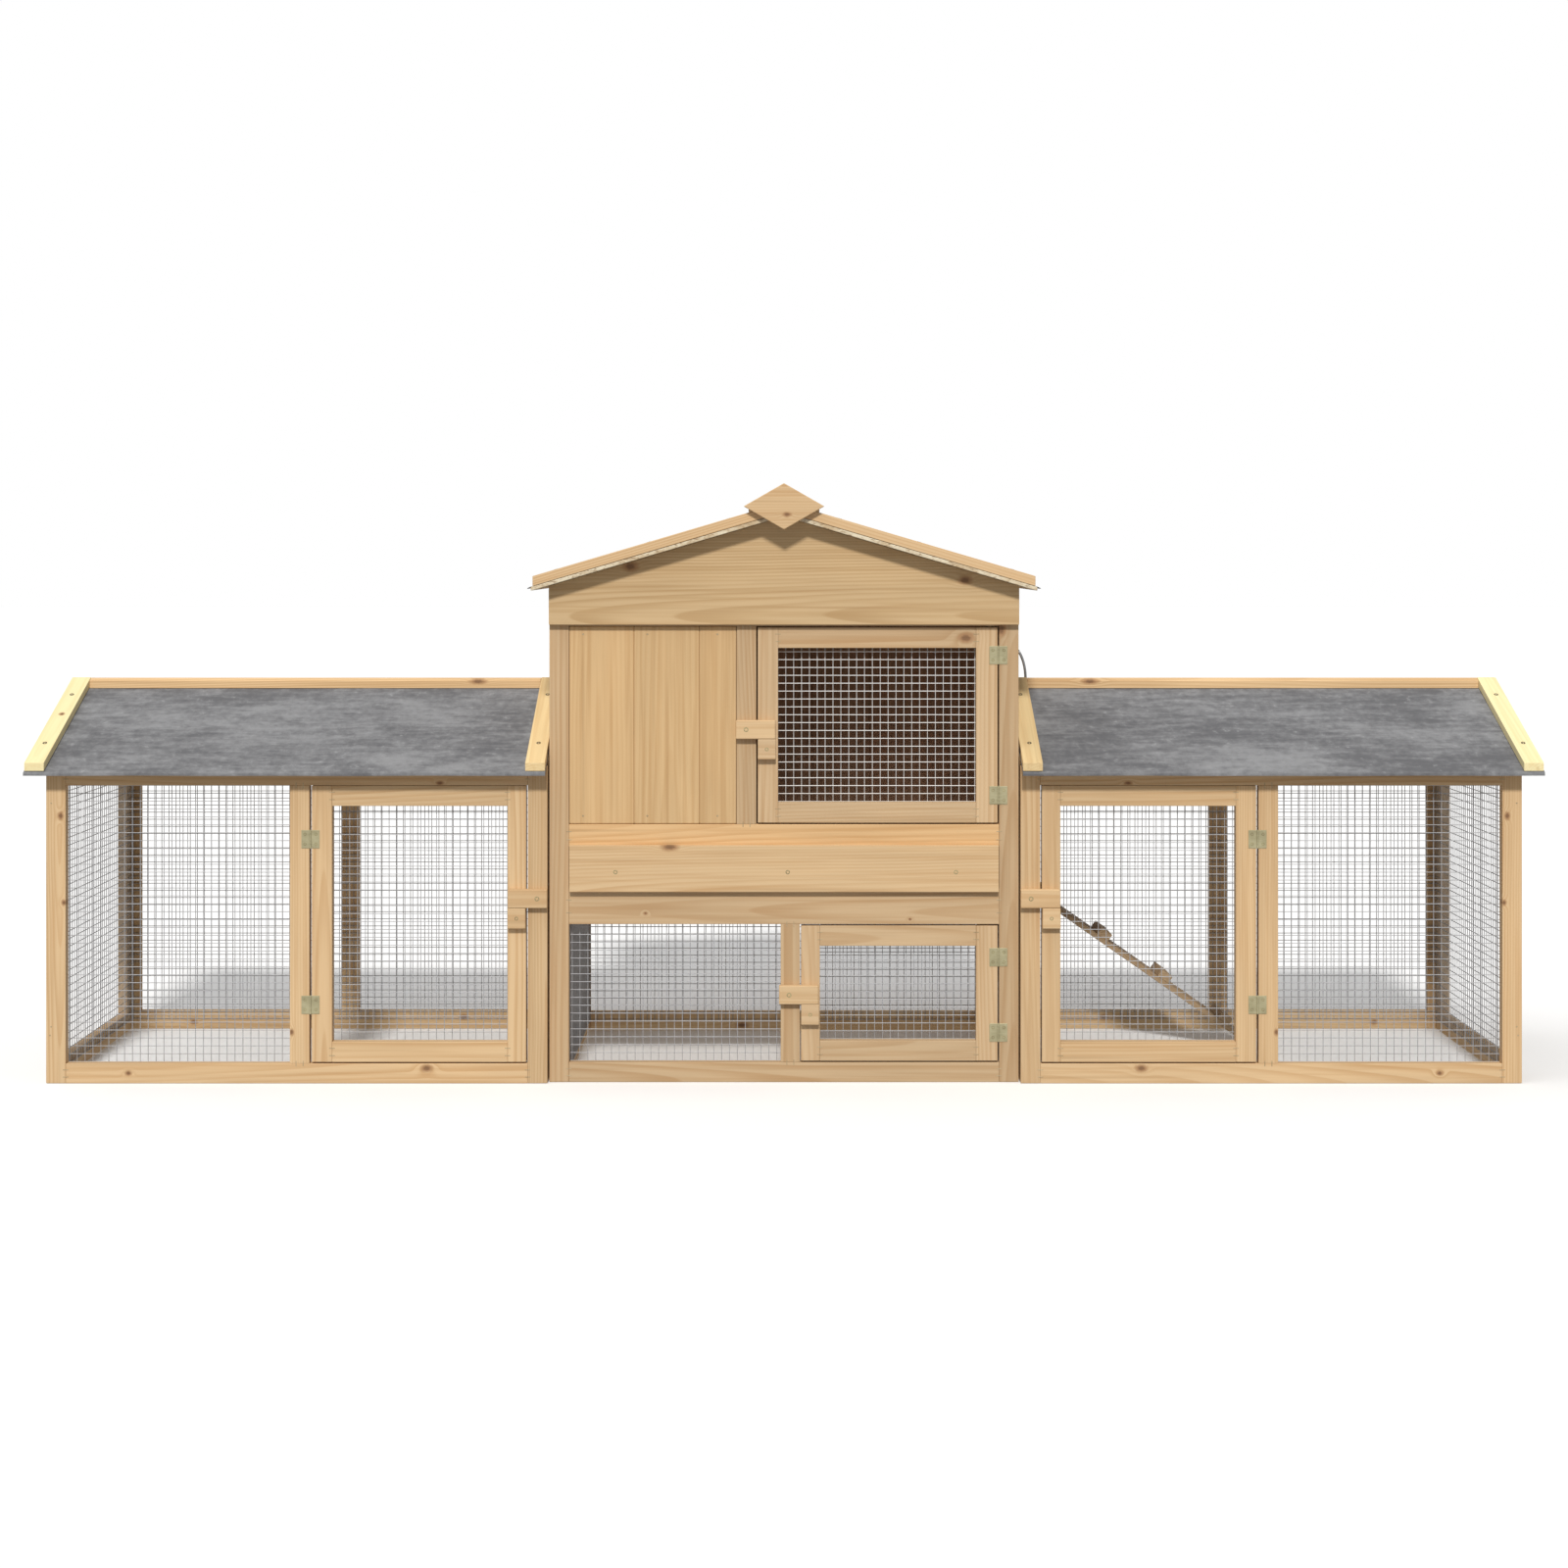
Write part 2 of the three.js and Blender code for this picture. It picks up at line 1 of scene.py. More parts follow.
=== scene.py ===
"""Rabbit hutch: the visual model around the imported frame.

Every board is its own closed surface with eased edges, carried along its length. The welded mesh
is made of round wires, the roofs are sheathing with felt on top, and hinges, screws and staples
are modelled. Sizes are in metres; places come from the frame's own boxes.
"""

import math

import bmesh
import bpy
import numpy as np
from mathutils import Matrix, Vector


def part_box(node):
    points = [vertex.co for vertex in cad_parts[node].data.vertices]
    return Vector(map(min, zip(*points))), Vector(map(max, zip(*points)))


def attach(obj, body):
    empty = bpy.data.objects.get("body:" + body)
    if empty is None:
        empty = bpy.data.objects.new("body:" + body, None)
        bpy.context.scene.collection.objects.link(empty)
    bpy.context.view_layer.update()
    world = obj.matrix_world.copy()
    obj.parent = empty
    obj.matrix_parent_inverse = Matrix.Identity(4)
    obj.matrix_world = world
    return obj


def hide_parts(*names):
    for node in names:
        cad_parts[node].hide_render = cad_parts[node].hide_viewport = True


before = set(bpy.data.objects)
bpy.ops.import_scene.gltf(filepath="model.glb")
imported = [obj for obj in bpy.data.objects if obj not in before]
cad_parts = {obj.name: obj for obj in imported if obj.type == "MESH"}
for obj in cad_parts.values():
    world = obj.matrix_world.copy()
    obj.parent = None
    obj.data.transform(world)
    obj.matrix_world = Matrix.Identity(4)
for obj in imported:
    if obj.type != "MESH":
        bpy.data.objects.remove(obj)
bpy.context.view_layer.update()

# ---- driving sizes --------------------------------------------------------------------------

BATTEN = 0.0265          # width of stiles, rails and posts
PANEL = 0.014            # thickness of the framed panels
EASE = 0.0007            # radius of the eased edges
JOINT = 0.00012          # half of the line that shows where two timbers butt
PITCH = 0.0107           # pitch of the welded mesh
WIRE = 0.00105           # wire diameter
MESH_LAP = 0.013         # the mesh laps this far over the timber
RUN_SLOPE = math.radians(24.7)
HOUSE_SLOPE = math.radians(16.4)
GROOVE = 0.0017          # chamfer of the planks' edges

X = np.array([1.0, 0.0, 0.0])
Y = np.array([0.0, 1.0, 0.0])
Z = np.array([0.0, 0.0, 1.0])
chance = np.random.default_rng(11)


def extent(node):
    """The node's box as (x0, x1), (y0, y1), (z0, z1)."""
    low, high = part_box(node)
    return [(low[i], high[i]) for i in range(3)]


# ---- surfaces -------------------------------------------------------------------------------
# A surface is a dict: points (N, 3), faces (lists of point numbers), grain (N, 3) and cut (N, 3).
# grain says where a point was in the tree: along, across and through the board, in metres.
# cut says how far to the side and how deep the heart of the tree lay, and holds the board's seed.


def surface(points, faces, grain=None, cut=None):
    points = np.asarray(points, float).reshape(-1, 3)
    grain = points.copy() if grain is None else np.asarray(grain, float).reshape(-1, 3)
    cut = np.zeros_like(points) if cut is None else np.broadcast_to(cut, points.shape)
    return {"points": points, "faces": faces, "grain": grain, "cut": cut}


def ring_faces(rows, columns, offset=0):
    """Quads between neighbouring rings: ring i joins ring i + 1, and each ring closes on itself."""
    i, j = np.meshgrid(np.arange(rows - 1), np.arange(columns), indexing="ij")
    k = (j + 1) % columns
    quads = np.stack([i * columns + j, i * columns + k, (i + 1) * columns + k, (i + 1) * columns + j], -1)
    return (quads.reshape(-1, 4) + offset).tolist()


def capped(rows, columns):
    """The quads of a closed tube of rings with a many-sided face at each end."""
    faces = ring_faces(rows, columns)
    faces.append(list(range(columns))[::-1])
    faces.append(list(range((rows - 1) * columns, rows * columns)))
    return faces


def heart(wide):
    """A seeded guess at where the board was cut: heart to the side, heart's depth, and a seed."""
    aside = chance.uniform(-0.35, 0.35) * wide + chance.choice([-1, 1]) * chance.uniform(0, 0.03)
    return [aside, chance.uniform(0.012, 0.06), chance.uniform(0, 1)]


def board(start, end, across, size, skew=(0, 0), cut=None, ease=EASE):
    """A board with eased edges.

    Its section is a rectangle whose corners are quarter circles of radius ease. The section is
    carried along the line from start to end, and shrinks by the same quarter circle at both ends.
    A skewed end leans: a point is moved along by skew times its place through the thickness,
    fully at that end and not at all at the other.
    """
    start, end, across = (np.asarray(v, float) for v in (start, end, across))
    length = np.linalg.norm(end - start)
    along = (end - start) / length
    across = across / np.linalg.norm(across)
    through = np.cross(along, across)
    wide, thick = size

    turn = np.radians([4, 45, 86])
    corner = np.array([[1, 1], [-1, 1], [-1, -1], [1, -1]])
    angle = np.radians([0, 90, 180, 270])[:, None] + turn
    centre = corner * [wide / 2 - ease, thick / 2 - ease]
    lean = np.stack([np.cos(angle), np.sin(angle)], -1)

    inset = ease * (1 - np.sin(turn)) * 0.9
    from_end = ease * (1 - np.cos(turn))
    middle = np.linspace(ease, length - ease, max(2, int(length / 0.09) + 2))[1:-1]
    s = np.concatenate([from_end, middle, length - from_end[::-1]])
    shrink = np.concatenate([inset, middle * 0, inset[::-1]])

    radius = (ease - shrink)[:, None, None, None]
    section = (centre[None, :, None, :] + radius * lean[None]).reshape(len(s), 12, 2)
    t = section[..., 1]
    place = s[:, None] + (skew[0] * (1 - s / length) + skew[1] * s / length)[:, None] * t
    points = start + place[..., None] * along + section[..., :1] * across + t[..., None] * through
    grain = np.stack([place, section[..., 0], t], -1)
    return surface(points, capped(len(s), 12), grain, heart(wide) if cut is None else cut)


def flat_board(outline, origin, right, up, thick, grain_along="right", cut=None, ease=EASE):
    """A board of any outline: the outline lies in the plane of right and up through origin, and the
    board reaches back by thick. Its edges are eased by a bevel of radius ease."""
    origin, right, up = (np.asarray(v, float) for v in (origin, right, up))
    back = -np.cross(right, up)
    flat = np.array([origin + a * right + b * up for a, b in outline])
    made = bmesh.new()
    front = [made.verts.new(p) for p in flat]
    rear = [made.verts.new(p + back * thick) for p in flat]
    made.faces.new(front)
    made.faces.new(rear[::-1])
    for i in range(len(flat)):
        j = (i + 1) % len(flat)
        made.faces.new([front[j], front[i], rear[i], rear[j]])
    bmesh.ops.bevel(made, geom=made.edges[:], offset=ease, segments=2, profile=0.5, affect="EDGES")
    bmesh.ops.recalc_face_normals(made, faces=made.faces)
    made.verts.index_update()
    points = np.array([v.co for v in made.verts])
    faces = [[v.index for v in f.verts] for f in made.faces]
    made.free()
    offset = points - origin
    a, b, c = offset @ right, offset @ up, offset @ back
    order = {"right": [a, b, c], "up": [b, a, c], "back": [c, a, b]}[grain_along]
    grain = np.stack(order, -1)
    wide = np.ptp(order[1])
    return surface(points, faces, grain, heart(wide) if cut is None else cut)


def slab(nu, nv, top, bottom):
    """A thin sheet: top and bottom are functions of u and v from 0 to 1, and a band joins their rims."""
    u, v = np.meshgrid(np.linspace(0, 1, nu), np.linspace(0, 1, nv), indexing="ij")
    points = np.concatenate([top(u, v).reshape(-1, 3), bottom(u, v).reshape(-1, 3)])
    i, j = np.meshgrid(np.arange(nu - 1), np.arange(nv - 1), indexing="ij")
    a = (i * nv + j).ravel()
    upper = np.stack([a, a + nv, a + nv + 1, a + 1], -1)
    lower = upper[:, ::-1] + nu * nv
    rim = np.concatenate([
        np.arange(nv),
        np.arange(1, nu) * nv + nv - 1,
        (nu - 1) * nv + np.arange(nv - 2, -1, -1),
        np.arange(nu - 2, 0, -1) * nv,
    ])
    follow = np.roll(rim, -1)
    band = np.stack([rim, follow, follow + nu * nv, rim + nu * nv], -1)
    return surface(points, np.concatenate([upper, lower, band]).tolist())


def tube(path, radius, sides=16):
    """A round rod: a circle carried along the path, kept upright to it by parallel transport."""
    path = np.asarray(path, float)
    tangent = np.gradient(path, axis=0)
    tangent /= np.linalg.norm(tangent, axis=1)[:, None]
    side = np.cross(tangent[0], [0.3, 0.5, 0.8])
    sides_out = []
    for t in tangent:
        side = side - t * (side @ t)
        side = side / np.linalg.norm(side)
        sides_out.append(side)
    side = np.array(sides_out)
    other = np.cross(tangent, side)
    phi = np.linspace(0, 2 * np.pi, sides, endpoint=False)
    around = np.cos(phi)[None, :, None] * side[:, None] + np.sin(phi)[None, :, None] * other[:, None]
    return surface(path[:, None] + radius * around, capped(len(path), sides))


def turned(profile, centre, axis, sides=20, bump=None):
    """A turned piece: the profile's (radius, height) points go round the axis at centre. bump, if
    given, adds to the height as a function of the two places across the axis."""
    axis = np.asarray(axis, float) / np.linalg.norm(axis)
    side = np.cross(axis, [0.31, 0.52, 0.79])
    side /= np.linalg.norm(side)
    other = np.cross(axis, side)
    phi = np.linspace(0, 2 * np.pi, sides, endpoint=False)
    radius = np.array([p[0] for p in profile])[:, None]
    height = np.array([p[1] for p in profile])[:, None] + 0 * phi
    a, b = radius * np.cos(phi), radius * np.sin(phi)
    if bump is not None:
        height = height + bump(a, b)
    points = np.asarray(centre) + a[..., None] * side + b[..., None] * other + height[..., None] * axis
    return surface(points, capped(len(profile), sides))


def wires(starts, direction, length, wander=0.00006):
    """Round wires side by side: six-sided prisms whose middle line strays by a slow sine."""
    starts = np.asarray(starts, float)
    direction = np.asarray(direction, float)
    count, steps, sides = len(starts), max(3, int(length / 0.05)), 6
    s = np.linspace(0, length, steps)
    helper = Z if abs(direction[2]) < 0.5 else X
    a = np.cross(direction, helper)
    b = np.cross(direction, a)
    phase = chance.uniform(0, 2 * np.pi, (count, 2))
    sway = [wander * np.sin(s * chance.uniform(20, 40) + phase[:, k:k + 1]) for k in (0, 1)]
    line = starts[:, None] + s[None, :, None] * direction
    line = line + sway[0][..., None] * a + 0.4 * sway[1][..., None] * b
    phi = np.linspace(0, 2 * np.pi, sides, endpoint=False)
    around = WIRE / 2 * (np.cos(phi)[:, None] * a + np.sin(phi)[:, None] * b)
    points = (line[:, :, None] + around).reshape(-1, 3)
    one = capped(steps, sides)
    faces = [[k + w * steps * sides for k in f] for w in range(count) for f in one]
    return surface(points, faces)


def build(name, surfaces, finish, body, node=None, smooth=False):
    """One piece from several closed surfaces, riding on a body and standing for a CAD node."""
    points = np.concatenate([s["points"] for s in surfaces])
    faces, first = [], 0
    for s in surfaces:
        faces += [[k + first for k in f] for f in s["faces"]] if first else s["faces"]
        first += len(s["points"])
    mesh = bpy.data.meshes.new(name)
    mesh.from_pydata(points.tolist(), [], faces)
    for key in ("grain", "cut"):
        values = np.concatenate([s[key] for s in surfaces]).astype(np.float32)
        mesh.attributes.new(key, "FLOAT_VECTOR", "POINT").data.foreach_set("vector", values.ravel())
    mesh.polygons.foreach_set("use_smooth", [smooth] * len(mesh.polygons))
    mesh.materials.append(finish)
    mesh.update()
    check = bmesh.new()
    check.from_mesh(mesh)
    bmesh.ops.recalc_face_normals(check, faces=check.faces)
    check.to_mesh(mesh)
    check.free()
    piece = bpy.data.objects.new(name, mesh)
    bpy.context.scene.collection.objects.link(piece)
    if smooth:
        mesh.set_sharp_from_angle(angle=math.radians(40))
    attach(piece, body)
    if node:
        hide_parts(*([node] if isinstance(node, str) else node))
    return piece


# ---- shader expressions ---------------------------------------------------------------------


class Value:
    """A socket that takes part in Python expressions: each operator adds one Math node."""

    def __init__(self, graph, socket):
        self.graph, self.socket = graph, socket

    def math(self, operation, *others):
        return self.graph.math(operation, self, *others)

    def __add__(self, other): return self.math("ADD", other)
    def __sub__(self, other): return self.math("SUBTRACT", other)
    def __mul__(self, other): return self.math("MULTIPLY", other)
    def __truediv__(self, other): return self.math("DIVIDE", other)
    def __pow__(self, other): return self.math("POWER", other)
    def __neg__(self): return self.math("MULTIPLY", -1)
    __radd__ = __add__
    __rmul__ = __mul__
    def __rsub__(self, other): return self.graph.math("SUBTRACT", other, self)
    def __rtruediv__(self, other): return self.graph.math("DIVIDE", other, self)

    def between(self, low, high, to_low=0.0, to_high=1.0):
        """Rises smoothly from to_low at low to to_high at high."""
        return self.graph.value(
            "ShaderNodeMapRange", {"interpolation_type": "SMOOTHSTEP"},
            {"Value": self, "From Min": low, "From Max": high, "To Min": to_low, "To Max": to_high})


class Graph:
    """A material's node tree, and the few calls that fill it."""

    def __init__(self, name):
        self.material = bpy.data.materials.new(name)
        self.material.use_nodes = True
        self.tree = self.material.node_tree
        self.tree.nodes.clear()

    def node(self, kind, settings=None, sockets=None):
        made = self.tree.nodes.new(kind)
        for key, setting in (settings or {}).items():
            if key == "stops":
                ramp = made.color_ramp
                while len(ramp.elements) < len(setting):
                    ramp.elements.new(0.5)
                for element, (position, color) in zip(ramp.elements, setting):
                    element.position, element.color = position, (*color, 1)
            else:
                setattr(made, key, setting)
        for key, given in (sockets or {}).items():
            socket = made.inputs[key]
            if isinstance(given, Value):
                self.tree.links.new(given.socket, socket)
            elif isinstance(given, (tuple, list)) and len(given) == 3 and socket.type == "RGBA":
                socket.default_value = (*given, 1)
            else:
                socket.default_value = given
        return made

    def value(self, kind, settings=None, sockets=None, output=0):
        return Value(self, self.node(kind, settings, sockets).outputs[output])

    def math(self, operation, *given):
        return self.value("ShaderNodeMath", {"operation": operation}, dict(enumerate(given)))

    def vector_math(self, operation, *given, output=0):
        return self.value("ShaderNodeVectorMath", {"operation": operation}, dict(enumerate(given)), output)

    def attribute(self, name):
        return self.value("ShaderNodeAttribute", {"attribute_name": name}, output="Vector")

    def place(self):
        return self.value("ShaderNodeTexCoord", output="Object")

    def split(self, vector):
        parts = self.node("ShaderNodeSeparateXYZ", None, {0: vector})
        return [Value(self, socket) for socket in parts.outputs]

    def join(self, a, b, c):
        return self.value("ShaderNodeCombineXYZ", None, {0: a, 1: b, 2: c})

    def noise(self, vector, scale=1.0, detail=2.0, rough=0.5):
        """Soft noise from 0 to 1, about 0.5 on average."""
        return self.value("ShaderNodeTexNoise", None,
                          {"Vector": vector, "Scale": scale, "Detail": detail, "Roughness": rough})

    def mix(self, factor, first, second, blend="MIX"):
        return self.value("ShaderNodeMix", {"data_type": "RGBA", "blend_type": blend},
                          {0: factor, 6: first, 7: second}, output=2)

    def bump(self, height, distance, strength=1.0):
        return self.value("ShaderNodeBump", None, {"Height": height, "Distance": distance, "Strength": strength})

    def finish(self, **sockets):
        """Ends the tree in one Principled shader with the given sockets."""
        shader = self.node("ShaderNodeBsdfPrincipled", None, {k.replace("_", " "): v for k, v in sockets.items()})
        output = self.tree.nodes.new("ShaderNodeOutputMaterial")
        self.tree.links.new(shader.outputs[0], output.inputs["Surface"])
        return self.material


# ---- materials ------------------------------------------------------------------------------

PALE = (0.660, 0.465, 0.262)     # spring wood
WARM = (0.500, 0.292, 0.128)     # summer wood
RESIN = (0.360, 0.210, 0.090)    # thin resinous lines
PLANK_PALE = (0.640, 0.432, 0.220)
PLANK_WARM = (0.480, 0.272, 0.108)
KNOT_RING = (0.350, 0.180, 0.080)
KNOT_HEART = (0.170, 0.085, 0.040)


def knot_field(g, knots, mirrored):
    """The swirl that knots put in the rings, and the masks of their rims and hearts.

    Each knot is (x, z, rx, rz): an ellipse with those half axes that goes right through the board's
    thickness. away is the distance from its middle in units of the ellipse, with a soft wobble.
    mirrored repeats every knot on the other side of the hutch.
    """
    x, y, z = g.split(g.place())
    if mirrored:
        x = g.math("ABSOLUTE", x)
    wobble = (g.noise(g.join(x * 260.0, y * 40.0, z * 260.0), detail=2.0) - 0.5) * 0.5
    swirl, rim, core = 0.0, 0.0, 0.0
    for middle_x, middle_z, rx, rz in knots:
        a, b = (x - middle_x) / rx, (z - middle_z) / rz
        away = g.math("SQRT", a * a + b * b) + wobble
        swirl = swirl + g.math("EXPONENT", away * away * -0.28) * 1.6
        rim = g.math("MAXIMUM", rim, away.between(1.7, 0.75))
        core = g.math("MAXIMUM", core, away.between(0.95, 0.35))
    return swirl, rim, core


def softwood(name, pale=PALE, warm=WARM, knots=(), mirrored=False, ring=0.0034, contrast=0.66, wild=0.0):
    """Planed softwood.

    The rings are nested tubes round the heart of the tree: a point's ring number is its distance
    from a slightly tilted, wandering heart line, over the ring width. Colour goes from spring wood
    to summer wood across each ring and drops back sharply, long thin fibres are laid over it, and
    each board gets its own tone. Knots push the rings apart and turn dark. wild adds scattered
    small knots.
    """
    g = Graph(name)
    along, across, through = g.split(g.attribute("grain"))
    aside, deep, seed = g.split(g.attribute("cut"))
    shift = seed * 53.0
    wander = g.noise(g.join(along * 3.1, across * 15.0, shift), detail=2.0) - 0.5
    slow = g.noise(g.join(along * 1.1 + shift, across * 4.0, through * 4.0 + 7.0), detail=1.0) - 0.5
    tilt = (g.math("FRACT", seed * 17.0) - 0.5) * 0.05
    side = across - aside + wander * 0.007
    depth = through + deep + along * tilt + slow * 0.022
    radius = g.math("SQRT", side * side + depth * depth)
    phase = radius / ring

    swirl, rim, core = knot_field(g, knots, mirrored) if knots else (0.0, 0.0, 0.0)
    if wild:
        cell = g.join(along * 5.0 + shift, across * 16.0, shift)
        scatter = g.node("ShaderNodeTexVoronoi", {"feature": "F1"}, {"Vector": cell, "Scale": 1.0})
        away = Value(g, scatter.outputs["Distance"])
        chosen, _, _ = g.split(Value(g, scatter.outputs["Color"]))
        picked = chosen.between(1 - wild, 1 - wild + 0.02)
        small = away * (9.0 + 8.0 * g.math("FRACT", chosen * 31.0))
        swirl = swirl + g.math("EXPONENT", small * small * -0.25) * picked * 1.3
        rim = g.math("MAXIMUM", rim, small.between(1.6, 0.8) * picked)
        core = g.math("MAXIMUM", core, small.between(0.9, 0.35) * picked)

    turn = g.math("FRACT", phase + swirl)
    summer = turn.between(0.30, 0.90) * turn.between(1.0, 0.93)
    strength = g.noise(g.join(along * 1.7, across * 30.0, shift + 3.0), detail=1.0).between(0.3, 0.75, 0.35, 1.0)
    fibre = g.noise(g.join(along * 16.0, across * 950.0, through * 950.0 + shift), detail=3.0, rough=0.6)
    streak = g.noise(g.join(along * 4.0, across * 160.0, through * 160.0 + shift), detail=2.0)
    resin = g.noise(g.join(along * 1.4, across * 95.0 + shift, through * 60.0), detail=1.0)
    cloud = g.noise(g.join(along * 4.0, across * 26.0, through * 26.0 + shift), detail=2.0)

    tone = g.mix(summer * strength * contrast, pale, warm)
    tone = g.mix((streak - 0.42).between(0.0, 0.30) * 0.42, tone, warm)
    tone = g.mix(resin.between(0.63, 0.76) * 0.32, tone, RESIN)
    shade = 0.90 + fibre * 0.16 + (cloud - 0.5) * 0.22 + (g.math("FRACT", seed * 7.0) - 0.5) * 0.13
    tone = g.mix(1.0, tone, g.join(shade, shade, shade), "MULTIPLY")
    redden = g.math("FRACT", seed * 29.0).between(0.35, 1.0) * 0.18 + (cloud - 0.5) * 0.15
    tone = g.mix(redden, tone, g.mix(1.0, tone, (1.0, 0.90, 0.80), "MULTIPLY"))
    if knots or wild:
        tone = g.mix(rim * 0.78, tone, KNOT_RING)
        tone = g.mix(core * (0.55 + fibre * 0.5), tone, KNOT_HEART)
    rough = 0.60 + fibre * 0.14 - summer * 0.06
    height = fibre * 0.5 + streak * 0.3 - summer * 0.25 - core * 1.2
    return g.finish(Base_Color=tone, Roughness=rough, Normal=g.bump(height, 0.00012, 0.7),
                    Specular_IOR_Level=0.32)


def felt():
    """Roofing felt: mineral grains pressed into bitumen, mottled in soft clouds, with pale flecks."""
    g = Graph("roofing_felt")
    place = g.place()
    grains = g.noise(place, scale=1500.0, detail=2.0, rough=0.7)
    speck = g.noise(place, scale=420.0, detail=3.0, rough=0.7)
    mottle = g.noise(place, scale=90.0, detail=4.0, rough=0.65)
    x, y, z = g.split(place)
    cloud = g.noise(g.join(x * 6.0, y * 13.0, z * 13.0), detail=3.0, rough=0.6)
    wiped = g.noise(g.join(x * 18.0, y * 95.0, z * 95.0), detail=3.0, rough=0.6)
    light = (cloud * 0.42 + mottle * 0.28 + wiped * 0.30).between(0.38, 0.64)
    tone = g.mix(light, (0.119, 0.119, 0.125), (0.248, 0.250, 0.256))
    tone = g.mix(mottle.between(0.60, 0.76) * 0.55, tone, (0.31, 0.312, 0.316))
    shade = 0.80 + speck * 0.22 + grains * 0.18
    tone = g.mix(1.0, tone, g.join(shade, shade, shade), "MULTIPLY")
    height = grains * 0.6 + speck * 0.6 + mottle * 0.8
    return g.finish(Base_Color=tone, Roughness=0.86 + speck * 0.1, Normal=g.bump(height, 0.0006, 0.8),
                    Specular_IOR_Level=0.25)


def plywood():
    """Thin sheathing seen on its broken edge: pale torn fibres with brown patches along it."""
    g = Graph("sheathing")
    x, y, z = g.split(g.place())
    patch = g.noise(g.join(x * 26.0, y * 8.0, z * 40.0), detail=4.0, rough=0.65)
    torn = g.noise(g.join(x * 140.0, y * 60.0, z * 420.0), detail=4.0, rough=0.65)
    fibre = g.noise(g.join(x * 300.0, y * 12.0, z * 900.0), detail=2.0)
    tone = g.mix(patch.between(0.40, 0.64) * 0.75, (0.740, 0.650, 0.480), (0.500, 0.350, 0.190))
    tone = g.mix(torn.between(0.50, 0.66) * 0.75, tone, (0.260, 0.155, 0.070))
    shade = 0.88 + fibre * 0.22
    tone = g.mix(1.0, tone, g.join(shade, shade, shade), "MULTIPLY")
    return g.finish(Base_Color=tone, Roughness=0.78 + fibre * 0.1,
                    Normal=g.bump(torn + fibre * 0.4, 0.0006, 0.8), Specular_IOR_Level=0.25)


def metal(name, light, dark, metallic, rough, scale=(300.0, 300.0, 300.0), relief=0.00004):
    """Bare or plated metal: cloudy patches between two tones, with fine drawn lines along scale."""
    g = Graph(name)
    x, y, z = g.split(g.place())
    cloud = g.noise(g.join(x * 60.0, y * 60.0, z * 60.0), detail=3.0)
    drawn = g.noise(g.join(x * scale[0], y * scale[1], z * scale[2]), detail=3.0, rough=0.6)
    tone = g.mix((cloud * 0.6 + drawn * 0.4).between(0.35, 0.65), dark, light)
    return g.finish(Base_Color=tone, Roughness=rough + (drawn - 0.5) * 0.2 + (cloud - 0.5) * 0.1,
                    Metallic=metallic, Normal=g.bump(drawn, relief, 0.5))


FELT = felt()
SHEATHING = plywood()
GALVANISED = metal("galvanised_wire", (0.42, 0.42, 0.43), (0.32, 0.32, 0.33), 0.25, 0.55)
# The upper door's wires are two copies of one wire: the level wires near white as painted light from above, the
# upright wires darker as painted shade.
LEVEL_WIRE_PAINTED_LIGHT = metal("level_wire_painted_light", (0.95, 0.93, 0.90), (0.88, 0.86, 0.83), 0.0, 0.6)
UPRIGHT_WIRE_PAINTED_SHADE = metal("upright_wire_painted_shade", (0.62, 0.60, 0.58), (0.50, 0.48, 0.46), 0.1, 0.6)
TRAY_STEEL = metal("galvanised_sheet", (0.52, 0.54, 0.56), (0.36, 0.38, 0.40), 0.9, 0.36)
ROD_STEEL = metal("drawn_rod", (0.50, 0.51, 0.53), (0.32, 0.33, 0.34), 0.85, 0.33, (900.0, 900.0, 60.0))
HINGE_PLATE = metal("yellow_plating", (0.44, 0.40, 0.245), (0.33, 0.295, 0.17), 0.35, 0.45, (120.0, 120.0, 1400.0))
SCREW_STEEL = metal("screw_plating", (0.38, 0.33, 0.17), (0.20, 0.16, 0.08), 0.45, 0.45)
DARK_SCREW = metal("dark_screw", (0.13, 0.10, 0.06), (0.07, 0.05, 0.03), 0.4, 0.5)
# Staple and nail heads are dark brownish steel: partly the wire's own dull tone, partly painted shade of the recesses
# they sit in.
STAPLE_STEEL_PAINTED_SHADE = metal("staple_wire_painted_shade", (0.46, 0.36, 0.22), (0.33, 0.24, 0.13), 0.3, 0.5)
PINE = softwood("pine")
PINE_WILD = softwood("pine_with_knots", wild=0.16)
ROOF_BATTEN_WOOD = softwood("roof_batten_pine", pale=(0.720, 0.552, 0.294), warm=(0.590, 0.386, 0.175), contrast=0.5)
OUTER_BATTEN_WOOD = softwood("outer_batten_pine", pale=(0.830, 0.730, 0.420), warm=(0.740, 0.560, 0.270), contrast=0.4,
                             knots=[(-1.0038, 0.4921, 0.0035, 0.0017)])
PLANKS = softwood("planking", PLANK_PALE, PLANK_WARM, ring=0.0044, contrast=0.32)
PLANKS_WILD = softwood("planking_with_knots", PLANK_PALE, PLANK_WARM, ring=0.0044, contrast=0.5, wild=0.14)
# The back planks are tinted darker and redder than the other planking: painted shade for the dim inside of the house,
# on both faces of the planks.
BACK_PLANKS_PAINTED_SHADE = softwood("back_planking_painted_shade", (0.600, 0.330, 0.190), (0.450, 0.205, 0.105), ring=0.0044, wild=0.14)
# The ramp's pine is darker than the other pine: painted shade for the ramp standing in the shadow of the house.
RAMP_WOOD_PAINTED_SHADE = softwood("ramp_pine_painted_shade", (0.440, 0.315, 0.190), (0.330, 0.215, 0.115), wild=0.14)


# ---- boards between two corners -------------------------------------------------------------


